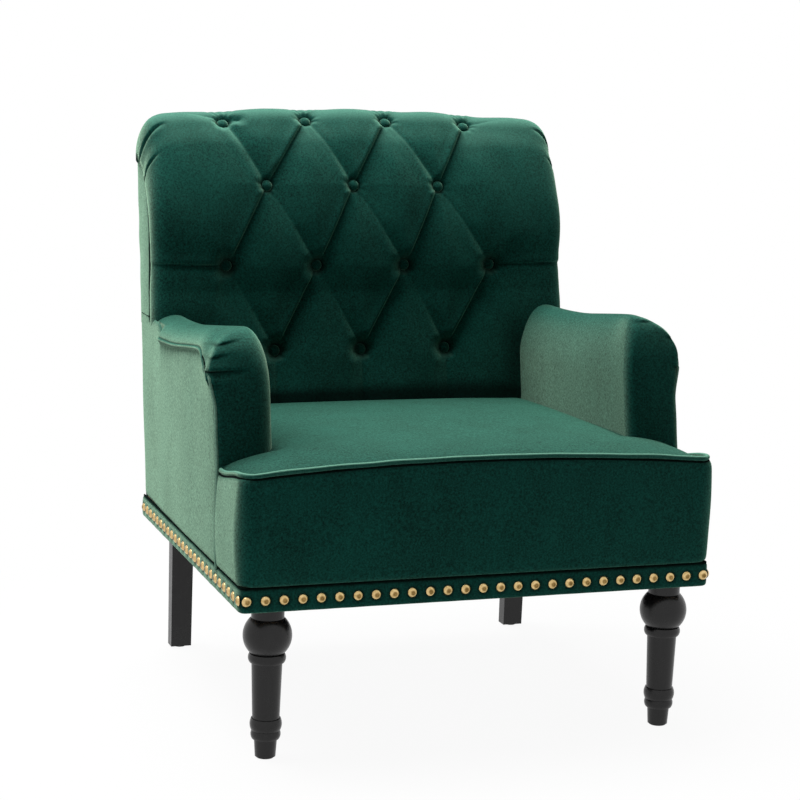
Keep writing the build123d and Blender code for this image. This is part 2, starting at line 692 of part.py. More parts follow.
BORDER_LOW = BAND_TOP + GAP
BORDER_TOP = LEG_HEIGHT + WELT_MID_RISE
with BuildPart() as front_border:
    with BuildSketch(Plane.XY.offset(BORDER_LOW)):
        border_plan(0, BORDER_LOW_CORNER)
    with BuildSketch(Plane.XY.offset((BORDER_LOW + BORDER_TOP) / 2)):
        border_plan(BORDER_BULGE, BORDER_MID_CORNER)
    with BuildSketch(Plane.XY.offset(BORDER_TOP)):
        border_plan(-BORDER_DRAW_IN, BORDER_TOP_CORNER)
    loft()
    with BuildSketch(Plane.XY.offset(BORDER_LOW)):
        border_plan(-SKIN, FRAME_CORNER_RADIUS)
    extrude(amount=BORDER_TOP - BORDER_LOW, mode=Mode.SUBTRACT)
    add(crown_border, mode=Mode.INTERSECT)
    add(welt_trench, mode=Mode.SUBTRACT)
save(front_border, "front_border")

# Nailed band round the front and the sides, and its domed nails
FRONT_NAIL_STEP = (BASE_WIDTH - 2 * NAIL_MARGIN) / (NAILS_FRONT - 1)
SIDE_NAIL_STEP = (BASE_DEPTH - 2 * NAIL_MARGIN) / (NAILS_SIDE - 1)
NAIL_LEVEL = LEG_HEIGHT + BAND_HEIGHT / 2
FRONT_NAILS = [
    ((place - (NAILS_FRONT - 1) / 2) * FRONT_NAIL_STEP, FRONT, NAIL_LEVEL)
    for place in range(NAILS_FRONT)
]
SIDE_NAILS = [
    (HALF_WIDTH, FRONT + NAIL_MARGIN + place * SIDE_NAIL_STEP, NAIL_LEVEL)
    for place in range(NAILS_SIDE)
]


def nail_shank(plane, radius, length):
    """Round shank into the band from its face."""
    with BuildSketch(plane) as section:
        Circle(radius)
    extrude(section.sketch, amount=-length, mode=Mode.SUBTRACT)


NAIL_DOME_RADIUS = (NAIL_RADIUS**2 + NAIL_DOME**2) / (2 * NAIL_DOME)
with BuildPart() as nail:
    with BuildSketch(Plane.XZ):
        with BuildLine():
            RadiusArc((NAIL_RADIUS, 0), (0, NAIL_DOME), -NAIL_DOME_RADIUS)
            Polyline((0, NAIL_DOME), (0, 0), (NAIL_RADIUS, 0))
        make_face()
    revolve(axis=Axis.Z)
    with BuildSketch(Plane.XY):
        Circle(NAIL_SHANK_RADIUS)
    extrude(amount=-NAIL_SHANK_LENGTH)

with BuildPart() as nail_band:
    with BuildSketch(Plane.XY.offset(LEG_HEIGHT)):
        with BuildLine():
            FilletPolyline(
                (HALF_WIDTH, FRONT + BASE_DEPTH),
                (HALF_WIDTH, FRONT),
                (-HALF_WIDTH, FRONT),
                (-HALF_WIDTH, FRONT + BASE_DEPTH),
                radius=BORDER_LOW_CORNER,
            )
            Polyline((-HALF_WIDTH, FRONT + BASE_DEPTH), (-FRAME_HALF, FRONT + BASE_DEPTH))
            FilletPolyline(
                (-FRAME_HALF, FRONT + BASE_DEPTH),
                (-FRAME_HALF, SEAT_PLAN_FRONT),
                (FRAME_HALF, SEAT_PLAN_FRONT),
                (FRAME_HALF, FRONT + BASE_DEPTH),
                radius=FRAME_CORNER_RADIUS,
            )
            Line((FRAME_HALF, FRONT + BASE_DEPTH), (HALF_WIDTH, FRONT + BASE_DEPTH))
        make_face()
    extrude(amount=BAND_HEIGHT)
    hole_length = NAIL_SHANK_LENGTH + HOLE_CLEARANCE
    for place in FRONT_NAILS:
        nail_shank(Plane(place, z_dir=(0, -1, 0)), NAIL_SHANK_RADIUS + HOLE_CLEARANCE, hole_length)
    for x, y, z in SIDE_NAILS:
        nail_shank(Plane((x, y, z), z_dir=(1, 0, 0)), NAIL_SHANK_RADIUS + HOLE_CLEARANCE, hole_length)
        nail_shank(Plane((-x, y, z), z_dir=(-1, 0, 0)), NAIL_SHANK_RADIUS + HOLE_CLEARANCE, hole_length)
save(nail_band, "nail_band")

with BuildPart() as nailheads_front:
    with Locations(*[Plane(place, z_dir=(0, -1, 0)).location for place in FRONT_NAILS]):
        add(nail.part)
save(nailheads_front, "nailheads_front")

with BuildPart() as nailheads_side:
    with Locations(*[Plane(place, z_dir=(1, 0, 0)).location for place in SIDE_NAILS]):
        add(nail.part)
save_pair(nailheads_side, "nailheads")

# Rolled arms: stations from the front of the arm to the back, with the fall of the crest at each
ARM_STATIONS = (
    (ARM_FRONT, ARM_FRONT_DROP),
    (FRONT + ARM_CREST_DEPTH, 0.0),
    (FRONT + ARM_DIP_DEPTH, ARM_DIP),
    (LUMBAR_Y + SKIN, ARM_REAR_DROP),
)
ARM_BOTTOM = RAIL_TOP + GAP
ARM_CREST_X = ARM_INNER + ARM_ROLL_RADIUS
arm_front_plane = Plane(
    (0, ARM_FRONT, LEG_HEIGHT + WELT_ARM_RISE),
    x_dir=(1, 0, 0),
    z_dir=(0, -cos(radians(ARM_FRONT_LEAN)), sin(radians(ARM_FRONT_LEAN))),
)
back_run = Vector(0, LUMBAR_Y - BACK_BOTTOM_Y, LUMBAR - BACK_BOTTOM).normalized()
arm_rear_plane = Plane(
    (0, BACK_BOTTOM_Y, BACK_BOTTOM),
    x_dir=(1, 0, 0),
    z_dir=Vector(1, 0, 0).cross(back_run),
)


def arm_section(plane, drop, inset):
    """Section of the right arm: inside face, roll over the top and the tuck under it outside."""

    def level(height):
        return (height - plane.origin.Z) / plane.y_dir.Z

    top = ARM_TOP - drop
    widest = HALF_WIDTH + ARM_OVERHANG - inset * ARM_OUTER_EASE
    with BuildSketch(plane) as section:
        with BuildLine():
            inside = Line(
                (ARM_INNER + inset, level(ARM_BOTTOM)),
                (ARM_INNER + inset, level(top - ARM_ROLL_RADIUS)),
            )
            shoulder = TangentArc(inside @ 1, (ARM_CREST_X, level(top - inset)), tangent=inside % 1)
            outside = TangentArc(shoulder @ 1, (widest, level(top - ARM_ROLL_DROP)), tangent=shoulder % 1)
            seam = (FRAME_HALF, level(top - ARM_SEAM_DROP))
            tuck = TangentArc(outside @ 1, seam, tangent=outside % 1)
            Polyline(tuck @ 1, (FRAME_HALF, level(ARM_BOTTOM)), inside @ 0)
        make_face()
    return section.sketch


def arm_roll():
    """Outer form of the right arm, eased at its leaning front."""
    eased = arm_front_plane.offset(-ARM_FRONT_EASE)
    front_sections = [
        arm_section(arm_front_plane, ARM_FRONT_DROP, ARM_FRONT_ROUND),
        arm_section(arm_front_plane.offset(-ARM_FRONT_EASE / 2), ARM_FRONT_DROP, ARM_FRONT_MID_ROUND),
        arm_section(eased, ARM_FRONT_DROP, 0),
    ]
    body_sections = [arm_section(eased, ARM_FRONT_DROP, 0)]
    body_sections += [arm_section(Plane.XZ.offset(-y), drop, 0) for y, drop in ARM_STATIONS[1:]]
    with BuildPart() as roll:
        loft(front_sections)
        loft(body_sections)
        split(bisect_by=Plane.XZ.offset(-ARM_FRONT), keep=Keep.BOTTOM)
        split(bisect_by=arm_rear_plane.offset(GAP), keep=Keep.TOP)
    return roll.part


def arm_core(inset):
    """Inside of the right arm, open to the outside panel, a given distance in from the arm's face."""
    with BuildPart() as core:
        for y, drop in ARM_STATIONS:
            top = ARM_TOP - drop
            place = y + inset if y == ARM_FRONT else y
            with BuildSketch(Plane.XZ.offset(-place)):
                with BuildLine():
                    inside = Line(
                        (ARM_INNER + inset, ARM_BOTTOM), (ARM_INNER + inset, top - ARM_ROLL_RADIUS)
                    )
                    shoulder = TangentArc(inside @ 1, (ARM_CREST_X, top - inset), tangent=inside % 1)
                    seam = (FRAME_HALF, top - ARM_SEAM_DROP - (inset - ARM_PAD))
                    outside = TangentArc(shoulder @ 1, seam, tangent=shoulder % 1)
                    Polyline(outside @ 1, (FRAME_HALF, ARM_BOTTOM), inside @ 0)
                make_face()
        loft()
        split(bisect_by=arm_front_plane.offset(-inset), keep=Keep.BOTTOM)
    return core.part


arm_form = arm_roll()
arm_hollow = arm_core(ARM_PAD)
arm_fill = arm_core(ARM_PAD + GAP)

with BuildPart() as arm_cover:
    add(arm_form)
    add(arm_hollow, mode=Mode.SUBTRACT)
save_pair(arm_cover, "arm_cover")

with BuildPart() as arm_foam:
    add(arm_fill)
    split(bisect_by=arm_rear_plane.offset(GAP), keep=Keep.TOP)
    split(bisect_by=Plane.YZ.offset(FRAME_HALF - GAP), keep=Keep.BOTTOM)
    add(arm_post.part, mode=Mode.SUBTRACT)
    add(arm_rail.part, mode=Mode.SUBTRACT)
save_pair(arm_foam, "arm_foam")

# Outside arm panels, from the band up to the tuck of the roll
OUTSIDE_ARM_TOP = LEG_HEIGHT + OUTSIDE_ARM_RISE
OUTSIDE_ARM_LOW = BAND_TOP + GAP
with BuildPart() as outside_arm:
    with BuildSketch(Plane.YZ.offset(FRAME_HALF + GAP)):
        with BuildLine():
            lean = tan(radians(ARM_FRONT_LEAN))
            knee = LEG_HEIGHT + WELT_ARM_RISE
            Polyline(
                (ARM_FRONT, OUTSIDE_ARM_LOW),
                (outside_back(OUTSIDE_ARM_LOW), OUTSIDE_ARM_LOW),
                (outside_back(OUTSIDE_ARM_TOP), OUTSIDE_ARM_TOP),
                (ARM_FRONT + (OUTSIDE_ARM_TOP - knee) * lean, OUTSIDE_ARM_TOP),
                (ARM_FRONT, knee),
                close=True,
            )
        make_face()
    extrude(amount=SKIN - GAP)
    add([arm_form, arm_form.moved(Location((0, 0, -GAP)))], mode=Mode.SUBTRACT)
save_pair(outside_arm, "outside_arm")


# Back: the front curve runs from the seat past the lumbar swell into the roll at the top
def back_curve(inset):
    """Front curve of the back a given distance in from its face, up to the start of the roll."""
    lean = radians(BACK_ROLL_LEAN)
    radius = BACK_ROLL_RADIUS - inset
    roll_start = (ROLL_Y - radius * cos(lean), ROLL_HEIGHT + radius * sin(lean))
    Line((BACK_BOTTOM_Y + inset, BACK_BOTTOM), (LUMBAR_Y + inset, LUMBAR))
    return TangentArc(roll_start, (LUMBAR_Y + inset, LUMBAR), tangent=(-sin(lean), -cos(lean)))


def back_outline():
    """Front-view outline of the back, crowned along the top with rounded corners."""
    low = LEG_HEIGHT
    shoulder = BACK_TOP - BACK_CROWN
    slope = Vector(BACK_HALF, BACK_CROWN).get_angle(Vector(1, 0))
    crest = BACK_TOP + BACK_CROWN_RADIUS * (1 / cos(radians(slope)) - 1)
    with BuildLine() as outline:
        FilletPolyline(
            (-BACK_HALF, low),
            (-BACK_HALF, shoulder),
            (0, crest),
            (BACK_HALF, shoulder),
            (BACK_HALF, low),
            radius=(BACK_CORNER_RADIUS, BACK_CROWN_RADIUS, BACK_CORNER_RADIUS),
        )
        Line((BACK_HALF, low), (-BACK_HALF, low))
    make_face(outline.line)


with BuildPart() as back_window:
    with BuildSketch(Plane.XZ):
        back_outline()
    extrude(amount=BASE_DEPTH, both=True)

COVER_HALF = BACK_HALF - STRIP_THICK - GAP
ARC_TURN = 180 - BACK_ROLL_LEAN + BACK_RAKE
with BuildPart() as back_hollow:
    with BuildSketch(Plane.YZ):
        with BuildLine():
            inner = back_curve(BACK_LAYER)
            roll_in = JernArc(inner @ 0, -(inner % 0), BACK_ROLL_RADIUS - BACK_LAYER, BACK_ROLL_LEAN - 90)
            Polyline(
                roll_in @ 1,
                (outside_back(ROLL_HEIGHT), ROLL_HEIGHT),
                (outside_back(BACK_BOTTOM) + SKIN, BACK_BOTTOM),
                (BACK_BOTTOM_Y + BACK_LAYER, BACK_BOTTOM),
            )
        make_face()
    extrude(amount=BASE_WIDTH, both=True)


def front_point(height):
    """Point on the front curve at a height, with its outward direction, as (y, z) pairs."""
    lean = radians(BACK_ROLL_LEAN)
    start_y = ROLL_Y - BACK_ROLL_RADIUS * cos(lean)
    start_z = ROLL_HEIGHT + BACK_ROLL_RADIUS * sin(lean)
    if height <= LUMBAR:
        share = (height - BACK_BOTTOM) / (LUMBAR - BACK_BOTTOM)
        y = BACK_BOTTOM_Y + share * (LUMBAR_Y - BACK_BOTTOM_Y)
        return Vector(0, y, height), Vector(0, -back_run.Z, back_run.Y)
    chord_y = LUMBAR_Y - start_y
    chord_z = LUMBAR - start_z
    reach = (chord_y**2 + chord_z**2) / (2 * (chord_y * cos(lean) - chord_z * sin(lean)))
    centre = Vector(0, start_y + reach * cos(lean), start_z - reach * sin(lean))
    y = centre.Y - (reach**2 - (height - centre.Z) ** 2) ** 0.5
    point = Vector(0, y, height)
    return point, (point - centre).normalized()


def roll_point(angle):
    """Point on the top roll at an angle up from its front, with its outward direction."""
    outward = Vector(0, -cos(radians(angle)), sin(radians(angle)))
    return Vector(0, ROLL_Y, ROLL_HEIGHT) + outward * BACK_ROLL_RADIUS, outward


def across(count, pitch):
    """Even places across the back."""
    return [(place - (count - 1) / 2) * pitch for place in range(count)]


# Tuft rows as (surface point, outward normal, places across), from the seat up
TUFT_ROWS = [
    (*front_point(LEG_HEIGHT + TUFT_LOW_RISE), across(3, TUFT_PITCH)),
    (*front_point(LEG_HEIGHT + TUFT_THIRD_RISE), across(4, TUFT_PITCH)),
    (*front_point(LEG_HEIGHT + TUFT_SECOND_RISE), across(3, TUFT_PITCH)),
    (*roll_point(TUFT_ROLL_ANGLE), across(4, TUFT_TOP_PITCH)),
]


def tuft_plane(row, x, depth):
    """Plane at a button, sunk below the surface and facing out."""
    point, outward, _ = row
    return Plane(Vector(x, 0, 0) + point - outward * depth, x_dir=(1, 0, 0), z_dir=outward)


def pleat(start, end, outward):
    """Groove with a V section between two points of the surface."""
    run = end - start
    place = Plane(start - outward * PLEAT_DEPTH, x_dir=run.cross(outward), z_dir=run)
    spread = PLEAT_HALF_WIDTH * PLEAT_RISE / PLEAT_DEPTH
    with BuildSketch(place) as section:
        with BuildLine():
            Polyline((0, 0), (spread, -PLEAT_RISE), (-spread, -PLEAT_RISE), close=True)
        make_face()
    with BuildPart() as groove:
        extrude(section.sketch, amount=run.length)
    return groove.part


def over_roll(x):
    """Groove over the top roll, from a button of the top row to the outside back."""
    spread = PLEAT_HALF_WIDTH * PLEAT_RISE / PLEAT_DEPTH
    low = BACK_ROLL_RADIUS - PLEAT_DEPTH
    outward = TUFT_ROWS[-1][1]
    place = Plane((x, ROLL_Y, ROLL_HEIGHT), x_dir=(1, 0, 0), z_dir=Vector(1, 0, 0).cross(outward))
    with BuildSketch(place) as section:
        with BuildLine():
            Polyline((0, low), (spread, low + PLEAT_RISE), (-spread, low + PLEAT_RISE), close=True)
        make_face()
    axis = Axis((x, ROLL_Y, ROLL_HEIGHT), (-1, 0, 0))
    with BuildPart() as groove:
        revolve(section.sketch, axis=axis, revolution_arc=180 - TUFT_ROLL_ANGLE)
    return groove.part


def hollow(row, x):
    """Dished hollow at a button, with a flat seat for it."""
    with BuildPart() as dish:
        with BuildSketch(tuft_plane(row, x, TUFT_DEPTH)):
            Circle(BUTTON_RADIUS + GAP)
        with BuildSketch(tuft_plane(row, x, -TUFT_DEPTH)):
            Circle(BUTTON_RADIUS + 2 * TUFT_SPREAD)
        loft()
    return dish.part


def button(row, x):
    """Covered button with a domed face, on the seat of its hollow."""
    with BuildSketch(tuft_plane(row, x, TUFT_DEPTH)) as base:
        Circle(BUTTON_RADIUS)
    extrude(base.sketch, amount=BUTTON_RIM)
    dome = BUTTON_HEIGHT - BUTTON_RIM
    dome_radius = (BUTTON_RADIUS**2 + dome**2) / (2 * dome)
    plane = tuft_plane(row, x, TUFT_DEPTH - BUTTON_RIM)
    side_plane = Plane(plane.origin, x_dir=plane.x_dir, z_dir=-plane.y_dir)
    with BuildSketch(side_plane) as section:
        with BuildLine():
            RadiusArc((BUTTON_RADIUS, 0), (0, dome), -dome_radius)
            Polyline((0, dome), (0, 0), (BUTTON_RADIUS, 0))
        make_face()
    revolve(section.sketch, axis=Axis(plane.origin, plane.z_dir))


def on_row(row, x):
    """Surface point of a tuft."""
    return Vector(x, 0, 0) + row[0]


low_row, third_row, second_row, top_row = TUFT_ROWS
pleats = [
    pleat(on_row(lower, low_x), on_row(upper, high_x), (lower[1] + upper[1]).normalized())
    for lower, upper in zip(TUFT_ROWS, TUFT_ROWS[1:])
    for low_x in lower[2]
    for high_x in upper[2]
    if abs(low_x - high_x) < TUFT_PITCH
]
pleats += [pleat(Vector(x, BACK_BOTTOM_Y, BACK_BOTTOM), on_row(low_row, x), low_row[1]) for x in low_row[2]]
pleats += [
    pleat(on_row(third_row, sign * third_row[2][-1]), on_row(third_row, sign * BACK_HALF), third_row[1])
    for sign in (-1, 1)
]
pleats += [over_roll(x) for x in top_row[2]]
hollows = [hollow(row, x) for row in TUFT_ROWS for x in row[2]]

with BuildPart() as arm_rail_notches:
    add(arm_rail.part)
    mirror(about=Plane.YZ)
    offset(amount=GAP, kind=Kind.INTERSECTION)

with BuildPart() as inside_back:
    with BuildSketch(Plane.YZ):
        with BuildLine():
            front_arc = back_curve(0)
            over_top = JernArc(front_arc @ 0, -(front_arc % 0), BACK_ROLL_RADIUS, -ARC_TURN)
            Polyline(
                over_top @ 1,
                (outside_back(BACK_BOTTOM), BACK_BOTTOM),
                (BACK_BOTTOM_Y, BACK_BOTTOM),
            )
        make_face()
    extrude(amount=COVER_HALF, both=True)
    for side_face in (inside_back.faces().sort_by(Axis.X)[0], inside_back.faces().sort_by(Axis.X)[-1]):
        flat = side_face.edges().filter_by(GeomType.LINE)
        plain = [flat.sort_by(Axis.Z)[0], flat.sort_by(Axis.Y)[-1]]
        fillet([edge for edge in side_face.edges() if edge not in plain], radius=BACK_EDGE_EASE)
    add(back_window.part, mode=Mode.INTERSECT)
    add(back_hollow.part, mode=Mode.SUBTRACT)
    add(arm_rail_notches.part, mode=Mode.SUBTRACT)
    add(pleats, mode=Mode.SUBTRACT)
    add(hollows, mode=Mode.SUBTRACT)
save(inside_back, "inside_back")

with BuildPart() as tuft_buttons:
    for row in TUFT_ROWS:
        for x in row[2]:
            button(row, x)
save(tuft_buttons, "tuft_buttons")

# Foam between the webbing and the tufted layer
FOAM_DEPTH = POST_DEPTH + STRAP_THICK + GAP
with BuildPart() as back_foam:
    with BuildSketch(Plane.YZ):
        with BuildLine():
            foam_arc = back_curve(BACK_LAYER + GAP)
            Polyline(
                foam_arc @ 0,
                (outside_back(ROLL_HEIGHT), ROLL_HEIGHT),
                (outside_back(BACK_BOTTOM), BACK_BOTTOM),
                (BACK_BOTTOM_Y + BACK_LAYER + GAP, BACK_BOTTOM),
            )
        make_face()
    extrude(amount=COVER_HALF, both=True)
    foam_back = Plane(
        (0, outside_back(LEG_HEIGHT) - FOAM_DEPTH, LEG_HEIGHT),
        x_dir=(1, 0, 0),
        z_dir=(0, -cos(radians(BACK_RAKE)), sin(radians(BACK_RAKE))),
    )
    split(bisect_by=foam_back, keep=Keep.TOP)
    split(bisect_by=Plane.XY.offset(POST_TOP), keep=Keep.BOTTOM)
    add(back_window.part, mode=Mode.INTERSECT)
    add(arm_rail_notches.part, mode=Mode.SUBTRACT)
save(back_foam, "back_foam")

# Side strips of the back, from the arm up to the rounded corner
STRIP_LOW = OUTSIDE_ARM_TOP + GAP
with BuildPart() as back_strip:
    with BuildSketch(Plane.YZ.offset(BACK_HALF - STRIP_THICK)):
        with BuildLine():
            strip_arc = back_curve(STRIP_SETBACK)
            Polyline(
                strip_arc @ 0,
                (outside_back(ROLL_HEIGHT) - GAP, ROLL_HEIGHT),
                (outside_back(BACK_BOTTOM) - GAP, BACK_BOTTOM),
                (BACK_BOTTOM_Y + STRIP_SETBACK, BACK_BOTTOM),
            )
        make_face()
    extrude(amount=STRIP_THICK)
    split(bisect_by=Plane.XY.offset(STRIP_LOW), keep=Keep.TOP)
    add(back_window.part, mode=Mode.INTERSECT)
save_pair(back_strip, "back_strip")

# Outside back panel
PANEL_TOP = ROLL_HEIGHT - BACK_ROLL_RADIUS * sin(radians(BACK_RAKE)) - GAP
with BuildPart() as outside_back_panel:
    with BuildSketch(Plane.YZ):
        raked_board(LEG_HEIGHT, PANEL_TOP, 0, BACK_PANEL_THICK)
    extrude(amount=FRAME_HALF, both=True)
    add(back_window.part, mode=Mode.INTERSECT)
save(outside_back_panel, "outside_back")
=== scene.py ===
import json
import math

import bpy
import numpy as np
from mathutils import Matrix, Vector


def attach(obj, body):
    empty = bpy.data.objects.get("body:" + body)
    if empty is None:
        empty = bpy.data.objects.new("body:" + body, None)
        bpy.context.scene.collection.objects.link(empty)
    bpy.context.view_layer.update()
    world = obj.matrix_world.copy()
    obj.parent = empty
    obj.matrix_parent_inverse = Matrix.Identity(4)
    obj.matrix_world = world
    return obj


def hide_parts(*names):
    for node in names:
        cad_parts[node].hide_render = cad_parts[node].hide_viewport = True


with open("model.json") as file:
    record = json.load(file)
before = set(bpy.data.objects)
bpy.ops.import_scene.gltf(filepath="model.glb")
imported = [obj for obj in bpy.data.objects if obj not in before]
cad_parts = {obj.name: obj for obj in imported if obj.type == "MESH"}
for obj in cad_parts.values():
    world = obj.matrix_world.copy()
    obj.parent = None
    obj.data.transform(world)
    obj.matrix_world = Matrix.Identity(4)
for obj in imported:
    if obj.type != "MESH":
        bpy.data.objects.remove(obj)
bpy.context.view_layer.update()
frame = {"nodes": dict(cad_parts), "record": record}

# Tufted club chair. Sizes are millimetres in the CAD model's frame: x to the right, y to the rear, z up.
MM = 0.001
FAR = 1e3

# Base and back
HALF_WIDTH = 360.0
BASE_DEPTH = 630.0
LEG_HEIGHT = 222.0
BAND_TOP = 257.0
BACK_HALF = 356.0
BACK_TOP = 895.0
BACK_LOW = 402.0
BACK_THICK = 108.0
LUMBAR = 600.0
RAKE_ANGLE = math.radians(9.0)
RAKE = math.tan(RAKE_ANGLE)
ROLL_RADIUS = 39.0
ROLL_HEIGHT = BACK_TOP - ROLL_RADIUS
ROLL_LEAN = math.radians(33.0)
ROLL_SWEEP = math.radians(189.0)
CORNER_RADIUS = 44.0
TOP_CROWN = 17.0
SIDE_EASE = 25.0
BORDER_BULGE = 4.0
FRONT = -(BASE_DEPTH + (ROLL_HEIGHT - LEG_HEIGHT) * RAKE - BORDER_BULGE) / 2
GRID_STEP = 2.2

# Tufts: rows from the seat up as (height, buttons, pitch, shift to the right), then the row on the roll
TUFT_PITCH = 149.0
TUFT_ROWS = (
    (505.0, 3, TUFT_PITCH, -4.0),
    (641.0, 4, TUFT_PITCH + 4.0, -3.0),
    (775.0, 3, TUFT_PITCH, -13.0),
)
ROLL_TUFTS = (4, 141.0, -12.0)
ROLL_TUFT_ANGLE = math.radians(45.0)
TUFT_DEPTHS = (20.0, 20.0, 12.0, 14.0)

# Pleats of the back: depths at three places along each, and the reach of the upper and the under side
ALONG_PLEAT = (0.0, 0.5, 1.0)
RISING_PLEAT = dict(depths=(8.5, 6.4, 8.5), over=4.0, under=100.0, lip=0.8, power=1.4)
FALLING_PLEAT = dict(depths=(7.0, 3.2, 7.0), over=14.0, under=26.0, lip=0.4)
SEAT_PLEAT = dict(depths=(8.0, 5.0, 5.0), over=18.0, under=18.0)
LEVEL_PLEAT = dict(depths=(10.0, 4.5, 3.0), over=4.5, under=20.0, lip=0.9)
ROLL_PLEAT = dict(depths=(7.0, 4.0, 0.0), over=22.0, under=22.0, puffs=False)
CORNER_PLEAT = dict(depths=(0.0, 5.0, 6.5), over=3.5, under=11.0, puffs=False)
CREST_PLEAT = dict(depths=(4.6, 3.0, 0.0), over=8.0, under=8.0, puffs=False)

# Buttons: (radius, height) from the middle to the rim
BUTTON_PROFILE = (
    (0.0, 7.2), (2.6, 7.0), (5.2, 6.2), (7.4, 4.8), (8.9, 2.9), (9.5, 1.0), (9.1, -0.8), (7.5, -1.8)
)

# Seat and arms
T_DEPTH = 128.0
SEAT_CORNER = 24.0
WELT_CORNER = 22.0
ARM_INNER = 274.0
ARM_TOP = 606.0
ARM_LEAN = math.tan(math.radians(10.8))
ARM_KNEE = 401.0
ARM_SPINE = 362.5
ROLL_OUTER = 366.0
SHOULDER = 95.0
ROLL_END = FRONT + 527.0
TONGUE_RADIUS = 17.0
OUTER_EASE = 8.0
ARM_TILT = 4.5
PANEL_REAR_TOP = 556.0
STRIP_LOW = 540.0
STRIP_HIGH = 837.0

# Pleats in each arm's front: inner end, outer end, depths at three places along it
LEFT_PLEATS = [
    ((310.0, 543.0), (363.0, 540.0), (0.0, 4.5, 5.5)),
    ((330.0, 566.0), (363.0, 558.0), (0.0, 2.4, 3.2)),
    ((312.0, 586.0), (362.0, 573.0), (0.0, 3.8, 4.6)),
    ((318.0, 600.0), (359.0, 586.0), (0.0, 2.8, 3.6)),
    ((344.0, 519.0), (363.0, 522.0), (0.0, 1.5, 2.4)),
]
RIGHT_PLEATS = [
    ((338.0, 569.0), (362.0, 566.0), (0.0, 2.2, 2.6)),
    ((346.0, 530.0), (366.0, 521.0), (0.0, 2.4, 3.4)),
    ((296.0, 592.0), (334.0, 592.0), (1.6, 3.2, 1.6)),
]

# Nailed band: levels above its lower edge, and how far the cloth is tucked in at each
BAND_HEIGHT = BAND_TOP - LEG_HEIGHT
BAND_CORNER = 11.0
BAND_LEVELS = (0.0, 0.4, 1.4, 3.5, 7.0, 11.0, 14.5, 17.5, 20.5, 24.0, 28.0, 31.5, 33.6, 34.6, 35.0)
BAND_TUCKS = (6.0, 2.6, 0.9, 0.2, 0.0, 0.0, 0.0, 0.0, 0.0, 0.0, 0.0, 0.2, 0.9, 2.4, 6.0)
NAIL_MARGIN = 10.0
FRONT_NAILS = 27
SIDE_NAILS = 25


def outside_back(z):
    """Y of the raked outside back at a height."""
    return FRONT + BASE_DEPTH + (z - LEG_HEIGHT) * RAKE


BACK_FOOT = outside_back(BACK_LOW) - BACK_THICK


def arm_front(z):
    """Y of the leaning front of the arms at a height."""
    return FRONT + T_DEPTH + 0.5 + np.maximum(z - ARM_KNEE, 0.0) * ARM_LEAN


def smooth(low, high, value):
    """Smooth step from 0 at low to 1 at high."""
    t = np.clip((value - low) / (high - low), 0.0, 1.0)
    return t * t * (3.0 - 2.0 * t)


def bell(value, middle, width):
    """1 at the middle, falling off smoothly on both sides."""
    return np.exp(-(((value - middle) / width) ** 2))


def fading(distance, length):
    """1 at no distance, dying away over a length."""
    return np.exp(-distance / length)


def tapering(distance, reach):
    """1 at no distance, falling straight to 0 at the reach."""
    return np.clip(1.0 - distance / reach, 0.0, 1.0)


def ripple(u, v, length, seed):
    """Soft unevenness of about the given length, between about -1 and 1."""
    rng = np.random.default_rng(seed)
    total = np.zeros_like(u)
    for _ in range(7):
        turn = rng.uniform(0, 2 * math.pi)
        size = length * rng.uniform(0.7, 1.6)
        phase = rng.uniform(0, 2 * math.pi)
        total += np.sin((u * math.cos(turn) + v * math.sin(turn)) * 2 * math.pi / size + phase)
    return total / 4.0


def joined(*coordinates):
    """Points from their coordinates, each an array or one value for all."""
    return np.stack(np.broadcast_arrays(*coordinates), axis=-1)


def run_lengths(steps):
    """Length along a row of points from the steps between them, 0 at the first."""
    return np.concatenate([[0], np.cumsum(steps)])


def surface_normals(points):
    """Unit normals of a grid of points."""
    across_rows = np.gradient(points, axis=1)
    along_rows = np.gradient(points, axis=0)
    normal = np.cross(across_rows, along_rows)
    return normal / np.maximum(np.linalg.norm(normal, axis=2, keepdims=True), 1e-9)


def segment_distance(u, v, start, end):
    """Distance to a straight run, how far along it the nearest place is, and how much it lies to the left."""
    run = np.array(end, float) - np.array(start, float)
    t = np.clip(((u - start[0]) * run[0] + (v - start[1]) * run[1]) / (run @ run), 0.0, 1.0)
    du = u - (start[0] + t * run[0])
    dv = v - (start[1] + t * run[1])
    distance = np.hypot(du, dv)
    left = (run[0] * dv - run[1] * du) / np.linalg.norm(run)
    return distance, t, left / np.maximum(distance, 1e-6)


# Materials
WHITE = (1.0, 1.0, 1.0, 1.0)
# Sheen tints painted by facing, as painted light: paler on the sides, with less red on the fronts and the
# tops
SHEEN_SIDE = (0.37, 0.585, 0.41)
SHEEN_FRONT = (0.2, 0.54, 0.39)
SHEEN_UP = (0.24, 0.58, 0.41)
PILE_DARK = (0.0001, 0.012, 0.0095)
PILE_LIGHT = (0.0003, 0.064, 0.05)
# Lighter colour on the up-facing top of the back's roll: a painted highlight
ROLL_PAINTED_HIGHLIGHT = (0.036, 0.118, 0.09)
# How far the painted shade in creases darkens the velvet
CREASE_SHADE = 0.92


def grey(value):
    """Grey as a colour."""
    return (value, value, value)


def node_tree(name):
    """New material with its node tree and its shader."""
    material = bpy.data.materials.new(name)
    material.use_nodes = True
    tree = material.node_tree
    return material, tree, tree.nodes["Principled BSDF"]


def add_node(tree, kind, **values):
    """Node with the given settings or inputs."""
    node = tree.nodes.new(kind)
    for key, value in values.items():
        if key in node.inputs:
            node.inputs[key].default_value = value
        else:
            setattr(node, key, value)
    return node


def set_inputs(node, values):
    """Set inputs of a node by their names."""
    for name, value in values.items():
        node.inputs[name].default_value = value


